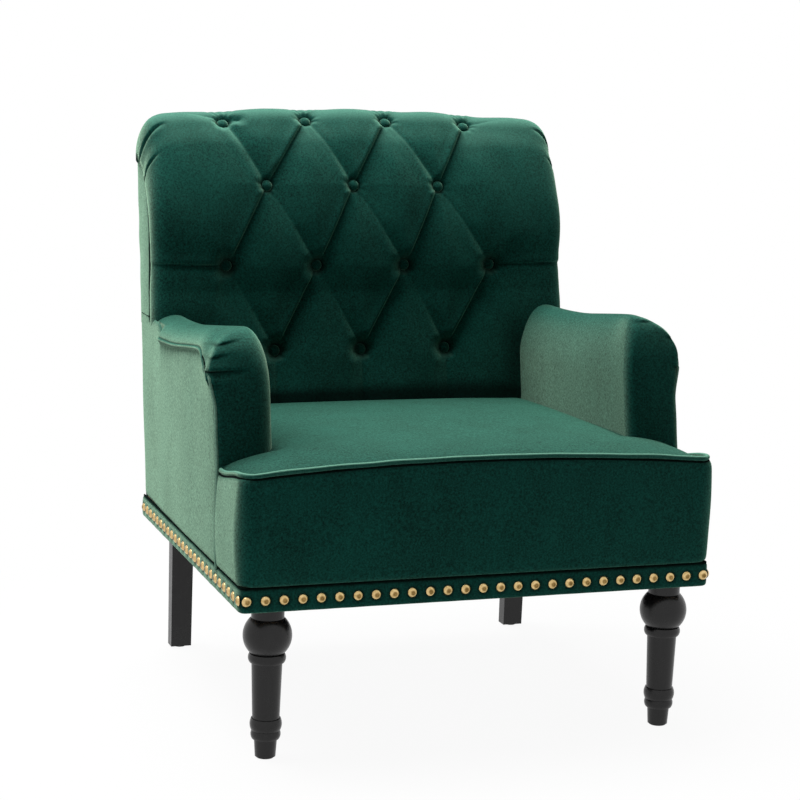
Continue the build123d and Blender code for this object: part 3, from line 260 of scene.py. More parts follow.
def object_coords(tree, stretch=None):
    """Coordinates of the object itself, with each axis scaled if asked."""
    coords = tree.nodes.new("ShaderNodeTexCoord").outputs["Object"]
    if stretch is None:
        return coords
    mapping = add_node(tree, "ShaderNodeMapping", Scale=stretch)
    tree.links.new(coords, mapping.inputs["Vector"])
    return mapping.outputs["Vector"]


def noise(tree, coords, scale, detail=4.0, roughness=0.6):
    """Noise over coordinates."""
    node = add_node(tree, "ShaderNodeTexNoise", Scale=scale, Detail=detail, Roughness=roughness)
    tree.links.new(coords, node.inputs["Vector"])
    return node.outputs["Fac"]


def ramp(tree, value, stops):
    """Colour ramp through two (place, colour) stops."""
    node = tree.nodes.new("ShaderNodeValToRGB")
    for element, (place, colour) in zip(node.color_ramp.elements, stops):
        element.position = place
        element.color = (*colour, 1.0)
    tree.links.new(value, node.inputs["Fac"])
    return node.outputs["Color"]


def bump(tree, shader, height, strength, distance):
    """Bump from a height, chained before any bump already there."""
    node = add_node(tree, "ShaderNodeBump", Strength=strength, Distance=distance)
    tree.links.new(height, node.inputs["Height"])
    if shader.inputs["Normal"].is_linked:
        tree.links.new(shader.inputs["Normal"].links[0].from_socket, node.inputs["Normal"])
    tree.links.new(node.outputs["Normal"], shader.inputs["Normal"])


def facing(tree, axis, low, high):
    """How far a surface faces along a world axis, from 0 at low to 1 at high."""
    parts = tree.nodes.new("ShaderNodeSeparateXYZ")
    tree.links.new(tree.nodes.new("ShaderNodeNewGeometry").outputs["Normal"], parts.inputs["Vector"])
    span = add_node(tree, "ShaderNodeMapRange", interpolation_type="SMOOTHSTEP")
    set_inputs(span, {"From Min": low, "From Max": high})
    tree.links.new(parts.outputs[axis], span.inputs["Value"])
    return span.outputs["Result"]


def mix(tree, share, *colours):
    """Blend from one colour to another, each of them a value or a socket."""
    node = add_node(tree, "ShaderNodeMix", data_type="RGBA")
    tree.links.new(share, node.inputs[0])
    for socket, colour in zip((node.inputs[6], node.inputs[7]), colours):
        if isinstance(colour, tuple):
            socket.default_value = (*colour, 1.0)
        else:
            tree.links.new(colour, socket)
    return node.outputs[2]


def weighted(tree, offset, *parts):
    """Sum of an offset and weighted values."""
    total = None
    for value, weight in parts:
        node = add_node(tree, "ShaderNodeMath", operation="MULTIPLY_ADD")
        tree.links.new(value, node.inputs[0])
        node.inputs[1].default_value = weight
        node.inputs[2].default_value = offset
        if total:
            tree.links.new(total, node.inputs[2])
        total = node.outputs[0]
    return total


def scaled(tree, colour, share):
    """Colour times a share."""
    node = add_node(tree, "ShaderNodeVectorMath", operation="SCALE")
    tree.links.new(colour, node.inputs["Vector"])
    tree.links.new(share, node.inputs["Scale"])
    return node.outputs["Vector"]


def velvet_material(name, dark, light, crest=None):
    """Cut pile: brushed patches, fine grain, a sheen at grazing angles, sheen tints painted by facing, a
    colour for crests painted as a highlight on up-facing parts, and painted shade in marked creases.
    """
    material, tree, shader = node_tree(name)
    coords = object_coords(tree)
    patches = noise(tree, object_coords(tree, (1.0, 1.0, 0.45)), 16.0)
    mottle = noise(tree, coords, 330.0, 3.0, 0.7)
    grain = noise(tree, coords, 900.0, 2.0)
    tone = weighted(tree, 0.07, (patches, 0.26), (mottle, 0.9), (grain, 0.4))
    colour = ramp(tree, tone, [(0.66, dark), (1.04, light)])
    # Crest colour on up-facing parts: a painted highlight
    if crest:
        colour = mix(tree, facing(tree, "Z", 0.45, 0.95), colour, crest)
    # Painted shade: a mesh attribute set along creases, seams, pits and junctions darkens the base colour and
    # the sheen
    painted_shade = add_node(tree, "ShaderNodeAttribute", attribute_name="painted_shade").outputs["Fac"]
    painted_shade_factor = weighted(tree, 1.0, (painted_shade, -CREASE_SHADE))
    tree.links.new(scaled(tree, colour, painted_shade_factor), shader.inputs["Base Color"])
    set_inputs(shader, {"Roughness": 0.85, "Specular IOR Level": 0.05})
    set_inputs(shader, {"Sheen Weight": 1.0, "Sheen Roughness": 0.5})
    # Painted light: the sheen tint changes with the way the surface faces
    upright = mix(tree, facing(tree, "Y", -0.35, -0.9), SHEEN_SIDE, SHEEN_FRONT)
    tint = mix(tree, facing(tree, "Z", 0.25, 0.9), upright, SHEEN_UP)
    speckle = weighted(tree, -0.6, (patches, 0.3), (mottle, 2.0), (grain, 0.9))
    tint = scaled(tree, scaled(tree, tint, speckle), painted_shade_factor)
    tree.links.new(tint, shader.inputs["Sheen Tint"])
    bump(tree, shader, mottle, 0.15, 0.001)
    bump(tree, shader, grain, 0.2, 0.0005)
    return material


def wood_material(name):
    """Satin black lacquer over turned wood."""
    material, tree, shader = node_tree(name)
    grain = noise(tree, object_coords(tree, (1.0, 1.0, 0.06)), 420.0)
    wear = noise(tree, object_coords(tree), 60.0)
    colour = ramp(tree, grain, [(0.3, (0.0035, 0.0035, 0.0038)), (0.75, (0.009, 0.0088, 0.009))])
    tree.links.new(colour, shader.inputs["Base Color"])
    rough = ramp(tree, wear, [(0.3, grey(0.24)), (0.75, grey(0.36))])
    tree.links.new(rough, shader.inputs["Roughness"])
    set_inputs(shader, {"Specular IOR Level": 0.36})
    bump(tree, shader, grain, 0.08, 0.0004)
    return material


def brass_material(name):
    """Antiqued brass nails, with a dark reflection painted on the crown of each dome and plain brass towards
    its rim.
    """
    material, tree, shader = node_tree(name)
    tarnish = noise(tree, object_coords(tree), 260.0)
    rim, top = 0.82, 0.98
    # Painted reflection: dark where the dome faces out to the front or to the sides
    painted_reflection = weighted(
        tree,
        0.0,
        (facing(tree, "Y", -rim, -top), 1.0),
        (facing(tree, "X", -rim, -top), 1.0),
        (facing(tree, "X", rim, top), 1.0),
    )
    plain_brass = ramp(tree, tarnish, [(0.3, (0.5, 0.34, 0.13)), (0.7, (0.78, 0.58, 0.29))])
    dark = ramp(tree, tarnish, [(0.3, (0.12, 0.07, 0.018)), (0.7, (0.32, 0.2, 0.065))])
    tree.links.new(mix(tree, painted_reflection, plain_brass, dark), shader.inputs["Base Color"])
    set_inputs(shader, {"Metallic": 1.0})
    rough = ramp(tree, tarnish, [(0.3, grey(0.3)), (0.7, grey(0.18))])
    tree.links.new(rough, shader.inputs["Roughness"])
    bump(tree, shader, tarnish, 0.15, 0.0006)
    return material


def plain_material(name, dark, light, roughness, scale, metallic=0.0, specular=0.5):
    """Simple uneven material for the dark lines of painted shadow in seams and for the pieces under the chair
    and inside it.
    """
    material, tree, shader = node_tree(name)
    uneven = noise(tree, object_coords(tree), scale)
    tree.links.new(ramp(tree, uneven, [(0.3, dark), (0.7, light)]), shader.inputs["Base Color"])
    set_inputs(shader, {"Roughness": roughness, "Metallic": metallic, "Specular IOR Level": specular})
    bump(tree, shader, uneven, 0.15, 0.0005)
    return material


VELVET = velvet_material("velvet", PILE_DARK, PILE_LIGHT)
# Back cover with a painted highlight on its up-facing parts
BACK_VELVET = velvet_material("back_velvet", PILE_DARK, PILE_LIGHT, ROLL_PAINTED_HIGHLIGHT)
# Piping: a lighter copy of the velvet as painted light, with a painted highlight along its top
PIPING_PAINTED_LIGHT = velvet_material("piping", (0.004, 0.04, 0.03), (0.014, 0.085, 0.064), (0.13, 0.29, 0.215))
# Cord: a lighter copy of the velvet, as painted light
CORD_PAINTED_LIGHT = velvet_material("cord", (0.08, 0.18, 0.135), (0.17, 0.31, 0.235))
BLACK_WOOD = wood_material("black_wood")
BRASS = brass_material("brass")
GLIDE = plain_material("glide", grey(0.012), grey(0.03), 0.55, 300.0)
FRAME_WOOD = plain_material("frame_wood", (0.36, 0.23, 0.12), (0.55, 0.39, 0.22), 0.6, 60.0)
STEEL = plain_material("steel", (0.4, 0.4, 0.41), (0.56, 0.56, 0.57), 0.38, 400.0, 1.0)
# Near-black material for thin cords laid along seams and grooves: painted shadow
SEAM_SHADOW = plain_material("seam", (0.0004, 0.003, 0.0024), (0.0012, 0.008, 0.006), 0.95, 300.0, specular=0.04)
DUST_CLOTH = plain_material("dust_cloth", (0.012, 0.012, 0.013), (0.03, 0.03, 0.032), 0.95, 700.0)


# Pieces
def add_object(name, data):
    """New object in the scene."""
    thing = bpy.data.objects.new(name, data)
    bpy.context.scene.collection.objects.link(thing)
    return thing


def new_piece(name, points, faces, nodes=(), material=VELVET, painted_shade=None):
    """Cloth piece from points in millimetres, in the place of the CAD nodes named, if any, with painted shade
    in its creases if given.
    """
    mesh = bpy.data.meshes.new(name)
    mesh.from_pydata((points * MM).tolist(), [], faces)
    mesh.polygons.foreach_set("use_smooth", np.ones(len(mesh.polygons), dtype=bool))
    mesh.materials.append(material)
    if painted_shade is not None:
        layer = mesh.attributes.new("painted_shade", "FLOAT", "POINT")
        layer.data.foreach_set("value", np.clip(painted_shade, 0.0, 1.0).ravel())
    piece = add_object(name, mesh)
    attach(piece, "root")
    if nodes:
        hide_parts(*nodes)
    return piece


def grid_faces(rows, columns, offset=0, flip=False):
    """Quads of a grid of points."""
    index = np.arange(rows * columns).reshape(rows, columns) + offset
    quads = np.stack([index[:-1, :-1], index[:-1, 1:], index[1:, 1:], index[1:, :-1]], axis=-1).reshape(-1, 4)
    if flip:
        quads = quads[:, ::-1]
    return quads.tolist()


def grid_piece(name, grids, nodes=(), flip=False, material=VELVET, painted_shade=None):
    """Piece from one or more grids of points."""
    points = []
    faces = []
    for grid in grids:
        rows, columns, _ = grid.shape
        faces += grid_faces(rows, columns, sum(len(part) for part in points), flip)
        points.append(grid.reshape(-1, 3))
    new_piece(name, np.concatenate(points), faces, nodes, material, painted_shade)


def mirrored(grids):
    """Grids for the other side of the chair."""
    return [grid * np.array([-1.0, 1.0, 1.0]) for grid in grids]


def side_pieces(name, grids, node=None, material=VELVET):
    """The same piece on the right and, mirrored, on the left."""
    for side, flip in (("right", False), ("left", True)):
        nodes = [f"{node}_{side}"] if node else []
        grid_piece(f"{name}_{side}", mirrored(grids) if flip else grids, nodes, flip, material)


# Tufted back: a profile from the seat up and over the roll, swept across the chair
def back_profile():
    """Runs along the front curve of the back and the roll over its top, and its points as (y, z)."""
    roll_y = outside_back(ROLL_HEIGHT) - ROLL_RADIUS / math.cos(RAKE_ANGLE)
    roll_middle = np.array([roll_y, ROLL_HEIGHT])
    low = np.array([BACK_FOOT, BACK_LOW])
    lumbar = np.array([outside_back(LUMBAR) - BACK_THICK, LUMBAR])
    inward = np.array([math.cos(ROLL_LEAN), -math.sin(ROLL_LEAN)])
    start = roll_middle - ROLL_RADIUS * inward
    chord = lumbar - start
    reach = (chord @ chord) / (2 * (chord @ inward))
    centre = start + reach * inward
    first, last = (math.atan2(*(end - centre)[::-1]) % (2 * math.pi) for end in (lumbar, start))
    angles = np.linspace(first, last, 60)
    arc = centre + reach * joined(np.cos(angles), np.sin(angles))
    turns = np.linspace(ROLL_LEAN, ROLL_SWEEP, 60)
    roll = roll_middle + ROLL_RADIUS * joined(-np.cos(turns), np.sin(turns))
    line = low + np.linspace(0, 1, 40)[:, None] * (lumbar - low)
    points = np.concatenate([line[:-1], arc[:-1], roll])
    length = run_lengths(np.hypot(*np.diff(points, axis=0).T))
    even = np.arange(0, length[-1], GRID_STEP)
    profile = joined(*(np.interp(even, length, points[:, axis]) for axis in (0, 1)))
    for _ in range(6):
        profile[1:-1] = (profile[:-2] + 2 * profile[1:-1] + profile[2:]) / 4
    return even, profile


BACK_S, BACK_CURVE = back_profile()
CREST = int(np.argmax(BACK_CURVE[:, 1]))


def length_at(z):
    """Run along the back's front curve at a height."""
    return float(np.interp(z, BACK_CURVE[:CREST, 1], BACK_S[:CREST]))


def across(count, pitch, shift):
    """Even places across the back, drawn a little to one side."""
    return [(place - (count - 1) / 2) * pitch + shift for place in range(count)]


# Rows of tufts from the seat up: run along the curve, places across it
TUFTS = [(length_at(z), across(count, pitch, shift)) for z, count, pitch, shift in TUFT_ROWS]
TUFTS.append((float(BACK_S[CREST] - ROLL_TUFT_ANGLE * ROLL_RADIUS), across(*ROLL_TUFTS)))


def top_drop(x):
    """How far the crown and the rounded corners fall below the top of the back."""
    reach = np.clip(np.abs(x) - (BACK_HALF - CORNER_RADIUS), 0.0, CORNER_RADIUS)
    return TOP_CROWN * (x / BACK_HALF) ** 2 + CORNER_RADIUS - np.sqrt(CORNER_RADIUS**2 - reach**2)


def top_share(z):
    """How much of the top's fall counts at a height of the back's curve."""
    return smooth(690.0, 880.0, z)


def pleat_relief(x, s):
    """Height of the puffed, pleated and buttoned cover above its plain curve, and painted shade along its
    pleats and round its buttons.
    """
    hollow = np.zeros_like(x)
    ridge = np.zeros_like(x)
    nearest = np.full_like(x, FAR)
    painted_shade = np.zeros_like(x)

    def fold(start, end, depths, over, under, lip=0.0, puffs=True, power=2.0):
        """Pleat whose left side laps over its right side."""
        nonlocal hollow, ridge, nearest, painted_shade
        distance, t, left = segment_distance(x, s, start, end)
        width = under + (over - under) * smooth(-0.6, 0.6, left)
        shape = tapering(distance, width) ** power
        hollow += (np.interp(t, ALONG_PLEAT, depths) * shape) ** 3
        ridge += lip * np.clip(left, 0.0, 1.0) * bell(distance - over, 3.0, 7.0)
        # Painted shade along the lapped side of the pleat
        strength = 0.5 * min(over / 4.0, 4.0 / over)
        painted_shade = np.maximum(painted_shade, strength * smooth(-1.0, 0.2, -left) * bell(distance, 0.0, 2.6))
        if puffs:
            nearest = np.minimum(nearest, distance)

    def side_fold(sign, inner, outer, depths, **pleat):
        """Pleat out to the left or the right, with its upper side lapping over."""
        if sign > 0:
            fold(inner, outer, depths, **pleat)
        else:
            fold(outer, inner, depths[::-1], **pleat)

    for (low_s, low_x), (high_s, high_x) in zip(TUFTS, TUFTS[1:]):
        for start in low_x:
            for end in high_x:
                if abs(start - end) < TUFT_PITCH:
                    pleat = RISING_PLEAT if end > start else FALLING_PLEAT
                    fold((start, low_s), (end, high_s), **pleat)
    low_s, low_x = TUFTS[0]
    for start in low_x:
        fold((start, low_s), (start, 0.0), **SEAT_PLEAT)
    third_s, third_x = TUFTS[1]
    top_s, top_x = TUFTS[3]
    for sign in (-1, 1):
        side_fold(sign, (sign * third_x[-1], third_s), (sign * 352.0, third_s + 4.0), **LEVEL_PLEAT)
        fold((sign * top_x[-1], top_s), (sign * 290.0, top_s + 22.0), **ROLL_PLEAT)
        for inner_x, inner_z, outer_z in ((316.0, 882.0, 879.0), (336.0, 838.0, 838.0)):
            inner = (sign * inner_x, length_at(inner_z))
            side_fold(sign, inner, (sign * 354.0, length_at(outer_z)), **CORNER_PLEAT)
    for start in top_x:
        for lean in (-26.0, -9.0, 10.0, 27.0):
            fold((start, top_s), (start + lean, top_s + 46.0), **CREST_PLEAT)
    for depth, (row_s, places) in zip(TUFT_DEPTHS, TUFTS):
        for start in places:
            distance = np.hypot(x - start, s - row_s)
            pit = tapering(np.maximum(distance - 8.0, 0.0), 1.1 * depth + 4.0)
            hollow += (depth * pit**2) ** 3
            turn = np.arctan2(s - row_s, x - start)
            ridge += 0.5 * np.cos(9.0 * turn + row_s) * bell(distance, 15.0, 8.0)
            nearest = np.minimum(nearest, distance)
            # Painted shade in the pit round the button
            painted_shade = np.maximum(painted_shade, 0.75 * bell(distance, 9.0, 0.3 * depth))
    puff = 6.0 * (1.0 - bell(nearest, 0.0, 40.0))
    return puff - hollow ** (1.0 / 3.0) + ridge, painted_shade


def tufted_back():
    """Front cover of the back, with its eased sides tucked behind the side strips, and painted shade in its
    creases, its tucks and where it meets the seat and the arms.
    """
    turn = np.linspace(0, math.pi / 2, 9)[1:]
    front_x = np.arange(0.0, BACK_HALF - SIDE_EASE, GRID_STEP)
    eased_x = BACK_HALF - SIDE_EASE + SIDE_EASE * np.sin(turn)
    side_x = np.concatenate([front_x, eased_x, BACK_HALF - np.array([0.8, 3.5, 11.0])])
    eased_depth = SIDE_EASE - SIDE_EASE * np.cos(turn)
    tucked_depth = SIDE_EASE + np.array([1.5, 2.6, 3.4])
    side_depth = np.concatenate([np.zeros(len(front_x)), eased_depth, tucked_depth])
    x = np.concatenate([-side_x[:0:-1], side_x])
    depth = np.concatenate([side_depth[:0:-1], side_depth])[None, :]
    run = np.gradient(BACK_CURVE, axis=0)
    run /= np.linalg.norm(run, axis=1, keepdims=True)
    grid_x, grid_s = np.meshgrid(x, BACK_S)
    height = BACK_CURVE[:, 1:2]
    sink = np.minimum(depth, ROLL_RADIUS - 4.0)
    y = BACK_CURVE[:, 0:1] + run[:, 1:2] * sink
    z = height - run[:, 0:1] * sink
    grid = joined(grid_x, y, z - top_drop(grid_x) * top_share(height))
    normal = surface_normals(grid)
    relief, painted_shade = pleat_relief(grid_x, grid_s)
    relief += 0.4 * ripple(grid_x, grid_s, 80.0, 3)
    relief -= 5.0 * smooth(840.0, 890.0, height)
    fade = 1.0 - smooth(4.0, SIDE_EASE, depth) * 0.75
    back_edge = 1.0 - smooth(BACK_S[-1] - 35.0, BACK_S[-1], grid_s)
    grid += normal * (relief * fade * back_edge)[:, :, None]
    corner = smooth(270.0, 340.0, np.abs(grid_x)) * smooth(855.0, 888.0, height)
    past_ease = depth - SIDE_EASE
    grid[:, :, 0] += 6.0 * np.sign(grid_x) * corner * (1.0 - smooth(0.0, 3.4, past_ease))
    # Painted shade where the sides tuck in
    painted_shade = np.maximum(painted_shade, 0.9 * smooth(0.8, 2.0, past_ease))
    # Painted shade low on the back, by the seat and by the arms
    by_seat = 0.85 * (1.0 - smooth(430.0, 446.0 + 16.0 * smooth(-200.0, 250.0, grid_x), height))
    by_arm = 0.6 * smooth(225.0, 270.0, np.abs(grid_x)) * (1.0 - smooth(510.0, 590.0, height))
    return grid, np.maximum(painted_shade, np.maximum(by_seat, by_arm))


back_grid, back_painted_shade = tufted_back()
back_nodes = ["inside_back", "back_foam", "back_webbing"]
grid_piece("inside_back_cover", [back_grid], back_nodes, material=BACK_VELVET, painted_shade=back_painted_shade)


def covered_buttons():
    """Cloth-covered buttons in the bottoms of the tufts."""
    turns = np.linspace(0, 2 * math.pi, 33)[:-1]
    count = len(turns)
    points = []
    faces = []
    for depth, (row_s, places) in zip(TUFT_DEPTHS, TUFTS):
        row = int(np.argmin(np.abs(BACK_S - row_s)))
        y, z = BACK_CURVE[row]
        run = BACK_CURVE[row + 2] - BACK_CURVE[row - 2]
        run /= np.linalg.norm(run)
        out = np.array([0.0, -run[1], run[0]])
        up = np.array([0.0, run[0], run[1]])
        sink = depth + 3.0 * smooth(800.0, 860.0, z)
        for x in places:
            drop = top_drop(x) * top_share(z)
            bottom = np.array([x, y + run[1] * sink, z - run[0] * sink - drop])
            offset = len(points)
            for radius, height in BUTTON_PROFILE:
                for angle in turns:
                    side = np.array([math.cos(angle), 0.0, 0.0]) + up * math.sin(angle)
                    points.append(bottom + side * max(radius, 0.05) + out * height)
            for ring in range(offset, len(points) - count, count):
                for step in range(count):
                    a = ring + step
                    b = ring + (step + 1) % count
                    faces.append((a, a + count, b + count, b))
            faces.append(tuple(range(offset, offset + count)))
    new_piece("covered_buttons", np.array(points), faces, ["tuft_buttons"])


covered_buttons()


# Crowned seat with its T-shaped front
def seat_height(x, y):
    """Height of the seat's crowned surface."""
    stations = np.array([FRONT - 8.0, FRONT + T_DEPTH, FRONT + 340.0, BACK_FOOT + 8.0])
    mids = LEG_HEIGHT + np.array([210.0, 216.0, 214.0, 199.0])
    falls = np.array([15.0, 29.0, 30.0, 8.0])

    def through(values):
        """Smooth curve along the chair through one value at each station."""
        total = np.zeros_like(y)
        for i, value in enumerate(values):
            term = np.full_like(y, value)
            for j, place in enumerate(stations):
                if j != i:
                    term = term * (y - place) / (stations[i] - place)
            total += term
        return total

    power = 2.0 + 1.7 * smooth(FRONT, FRONT + T_DEPTH, y)
    return through(mids) - through(falls) * np.abs(x / HALF_WIDTH) ** power


def seat_top():
    """Seat cover: the T in front of the arms and the seat between them, as points, faces and painted shade
    along its front edge and where it meets the arms and the back.
    """
    wing = HALF_WIDTH - 1.0
    neck = ARM_INNER + 18.0
    x_neck = np.linspace(-neck, neck, 139)
    x_wing = np.linspace(neck, wing, 23)[1:]
    x = np.concatenate([-x_wing[::-1], x_neck, x_wing])
    y_wing = np.linspace(FRONT + 4.5, FRONT + T_DEPTH + 6.0, 33)
    y_front = np.concatenate([[FRONT + 1.0, FRONT + 2.5], y_wing])
    y_rear = np.linspace(y_front[-1], BACK_FOOT + 10.0, 110)[1:]
    grid_x, grid_y = np.meshgrid(x, np.concatenate([y_front, y_rear]))
    from_front = grid_y - FRONT
    reach = np.clip(SEAT_CORNER - from_front, 0.0, SEAT_CORNER)
    limit = wing - SEAT_CORNER + np.sqrt(SEAT_CORNER**2 - reach**2)
    outer = np.clip((np.abs(grid_x) - neck) / (wing - neck), 0.0, 1.0)
    grid_x = np.where(outer > 0, np.sign(grid_x) * (neck + outer * (limit - neck)), grid_x)
    grid_z = seat_height(grid_x, grid_y)
    edge = np.minimum(from_front, np.where(from_front < T_DEPTH, limit - np.abs(grid_x), FAR))
    edge = np.maximum(edge, 0.0)
    beside = np.maximum(np.where(from_front > T_DEPTH, ARM_INNER - np.abs(grid_x), FAR), 0.0)
    behind = np.maximum(BACK_FOOT - grid_y, 0.0)
    grid_z -= 7.0 * fading(edge, 8.0) + 5.0 * fading(edge, 42.0)
    grid_z -= 4.0 * fading(beside, 7.0) + 5.0 * fading(behind, 7.0)
    right_wing = 4.0 * smooth(220.0, 330.0, grid_x) * smooth(20.0, 90.0, from_front)
    grid_z += 0.25 * ripple(grid_x, grid_y, 190.0, 11) + right_wing
    points = joined(grid_x, grid_y, grid_z)
    # Painted shade along the front edge and beside the arms and the back
    painted_shade = 0.33 * fading(edge, 50.0) + 0.3 * fading(edge, 10.0) + 0.6 * fading(beside, 7.0)
    painted_shade += 0.6 * fading(behind, 9.0)
    rows, columns = grid_x.shape
    quads = np.array(grid_faces(rows, columns)).reshape(rows - 1, columns - 1, 4)
    row, column = np.indices(quads.shape[:2])
    on_neck = (column >= len(x_wing)) & (column < len(x_wing) + len(x_neck) - 1)
    used, faces = np.unique(quads[on_neck | (row < len(y_front) - 1)], return_inverse=True)
    return points.reshape(-1, 3)[used], faces.reshape(-1, 4).tolist(), painted_shade.ravel()[used]


seat_points, seat_faces, seat_painted_shade = seat_top()
seat_nodes = ["seat_cover", "seat_foam", "seat_felt"]
seat = new_piece("seat_top", seat_points, seat_faces, seat_nodes, painted_shade=seat_painted_shade)
seat_solid = seat.modifiers.new("thickness", "SOLIDIFY")
seat_solid.thickness = 12.0 * MM
seat_solid.offset = -1.0


# Path round the front of the T, used by the welt and the border
def front_path(grow, corner, step=4.0):
    """Points from the left arm forward, across the front and back to the right arm, as (x, y)."""
    x = HALF_WIDTH + grow
    front = FRONT - grow
    rear = FRONT + T_DEPTH
    bend = np.linspace(0, math.pi / 2, 11)
    side = np.arange(front + corner, rear, step)[::-1]
    left = [(-x, rear)] + [(-x, y) for y in side[side < rear - 1.0]]
    left += [(-x + corner - corner * math.cos(a), front + corner - corner * math.sin(a)) for a in bend[1:]]
    left += [(value, front) for value in np.arange(-x + corner + step, 0.0, step)]
    left = np.array(left)
    right = left[::-1] * np.array([-1.0, 1.0])
    return np.concatenate([left, [[0.0, front]], right])


def welt_level(x, y):
    """Height of the piping's middle line."""
    crest = 417.0 + 15.0 * np.clip(1.0 - (np.abs(x) / 345.0) ** 2.0, 0.0, 1.0)
    return crest - 16.0 * smooth(FRONT + 10.0, FRONT + T_DEPTH, y)


def welt_path(grow, drop):
    """Line along the front edge of the seat, dropped below the piping's middle line."""
    x, y = front_path(grow, WELT_CORNER).T
    return joined(x, y, welt_level(x, y) - drop)


def tube(path, radius, sides=14):
    """Grid of a round cord along points; radius may change along it."""
    run = np.gradient(path, axis=0)
    run /= np.linalg.norm(run, axis=1, keepdims=True)
    side = np.cross(run, np.array([0.0, 0.0, 1.0]))
    side /= np.linalg.norm(side, axis=1, keepdims=True)
    up = np.cross(side, run)
    angles = np.linspace(0, 2 * math.pi, sides + 1)
    radius = np.broadcast_to(radius, len(path))[:, None, None]
    ring = np.cos(angles)[None, :, None] * side[:, None, :] + np.sin(angles)[None, :, None] * up[:, None, :]
    return path[:, None, :] + radius * ring


def upright_cord(path, radius, sides=10):
    """Grid of a round cord along a path that runs mostly upwards."""
    angles = np.linspace(0, 2 * math.pi, sides + 1)
    ring = joined(np.cos(angles), np.sin(angles), 0.0)
    return path[:, None, :] + np.broadcast_to(radius, len(path))[:, None, None] * ring[None, :, :]


def piping():
    """Welt along the front edge of the seat."""
    path = welt_path(-3.0, 0.0)
    path[:, 2] += 0.5 * ripple(path[:, 0], path[:, 1], 90.0, 21)
    path[:, 2] -= 1.6
    return tube(path, 3.7 + 0.12 * ripple(path[:, 0], path[:, 1], 40.0, 22))


grid_piece("seat_piping", [piping()], ["seat_welt"], material=PIPING_PAINTED_LIGHT)

# Dark line just under the piping: painted shadow in the seam
grid_piece("piping_seam_shadow", [tube(welt_path(-1.6, 6.6), 1.9)], material=SEAM_SHADOW)


def front_border():
    """Bulged border between the band and the piping."""
    rows = np.concatenate([[0.0, 0.006, 0.016], np.linspace(0.03, 0.97, 46), [0.985, 0.995, 1.0]])
    grid = []
    for t in rows:
        corner = 14.0 + 14.0 * math.sin(math.pi * min(t * 0.75 + 0.15, 1.0))
        tuck = 7.0 * math.exp(-t / 0.013) + 7.0 * math.exp(-(1.0 - t) / 0.022)
        grow = BORDER_BULGE * math.sin(math.pi * t) ** 0.7 - tuck + 0.6
        x, y = front_path(grow, corner).T
        grid.append(joined(x, y, BAND_TOP + t * (welt_level(x, y) - 2.5 - BAND_TOP)))
    count = min(len(row) for row in grid)
    even = []
    for row in grid:
        place = run_lengths(np.linalg.norm(np.diff(row, axis=0), axis=1))
        target = np.linspace(0, place[-1], count)
        even.append(joined(*(np.interp(target, place, row[:, axis]) for axis in range(3))))
    grid = np.array(even)
    normal = surface_normals(grid)
    middle = np.sin(np.pi * rows)[:, None]
    relief = 0.6 * ripple(grid[:, :, 0] + grid[:, :, 1], grid[:, :, 2], 120.0, 31) * middle
    return grid + normal * relief[:, :, None]


grid_piece("front_border_cover", [front_border()], ["front_border"], flip=True)


def nailed_band():
    """Band of cloth round the base, drawn in a little under each nail, with painted shade round each nail and
    along its top edge.
    """
    half, corner = HALF_WIDTH, BAND_CORNER
    rear = FRONT + BASE_DEPTH
    bend = np.linspace(0, math.pi / 2, 7)[1:]
    left = [(-half, y, 0.0) for y in np.arange(rear, FRONT + corner, -4.0)]
    left += [(-half + corner - corner * math.cos(a), FRONT + corner - corner * math.sin(a), a) for a in bend]
    left += [(x, FRONT, math.pi / 2) for x in np.arange(-half + corner + 3.0, 0.0, 3.5)]
    left = np.array(left)
    right = left[::-1] * np.array([-1.0, 1.0, 1.0])
    right[:, 2] = math.pi - left[::-1, 2]
    x, y, turn = np.concatenate([left, right]).T
    out_x, out_y = -np.cos(turn), -np.sin(turn)
    front_nails = np.linspace(-half + NAIL_MARGIN, half - NAIL_MARGIN, FRONT_NAILS)
    side_nails = np.linspace(FRONT + NAIL_MARGIN, rear - NAIL_MARGIN, SIDE_NAILS)
    near_front = np.min(np.abs(x[:, None] - front_nails), axis=1)
    near_side = np.min(np.abs(y[:, None] - side_nails), axis=1)
    near = np.where(np.abs(out_y) > 0.7, near_front, near_side)
    grid = []
    painted_shade = []
    for level, tuck in zip(BAND_LEVELS, BAND_TUCKS):
        from_nail = np.hypot(near, level - BAND_HEIGHT / 2)
        # Painted shade round each nail and along the band's top edge
        painted_shade.append(0.85 * (1.0 - smooth(7.0, 11.5, from_nail)) + 0.8 * smooth(32.0, 34.6, level))
        dent = 1.1 * np.exp(-(from_nail**2) / 90.0)
        uneven = 0.35 * ripple(x * 1.3, y * 1.3 + level, 40.0, 41)
        reach = 0.9 * math.sin(math.pi * level / BAND_HEIGHT) + uneven - dent - tuck
        grid.append(joined(x + out_x * reach, y + out_y * reach, LEG_HEIGHT + level))
    return np.array(grid), np.clip(painted_shade, 0.0, 1.0)


band_grid, band_painted_shade = nailed_band()
grid_piece("nailed_band", [band_grid], ["nail_band"], flip=True, painted_shade=band_painted_shade)

# Dark line between the band and the border: painted shadow in the seam
band_shadow_line = band_grid[-2] + np.array([0.0, 0.0, 0.9])
grid_piece("band_seam_shadow", [tube(band_shadow_line, 1.7)], material=SEAM_SHADOW)


# Rolled arms
def arm_crest(y):
    """Height of the arm's crest along the chair."""
    stations = FRONT + np.array([T_DEPTH, 200.0, 300.0, 410.0, 500.0, 575.0])
    drops = [8.0, 6.0, 17.0, 31.0, 36.0, 37.0]
    raw = np.interp(y, stations, drops)
    for shift in (-30.0, -15.0, 15.0, 30.0):
        raw = raw + np.interp(y + shift, stations, drops)
    return ARM_TOP - raw / 5.0


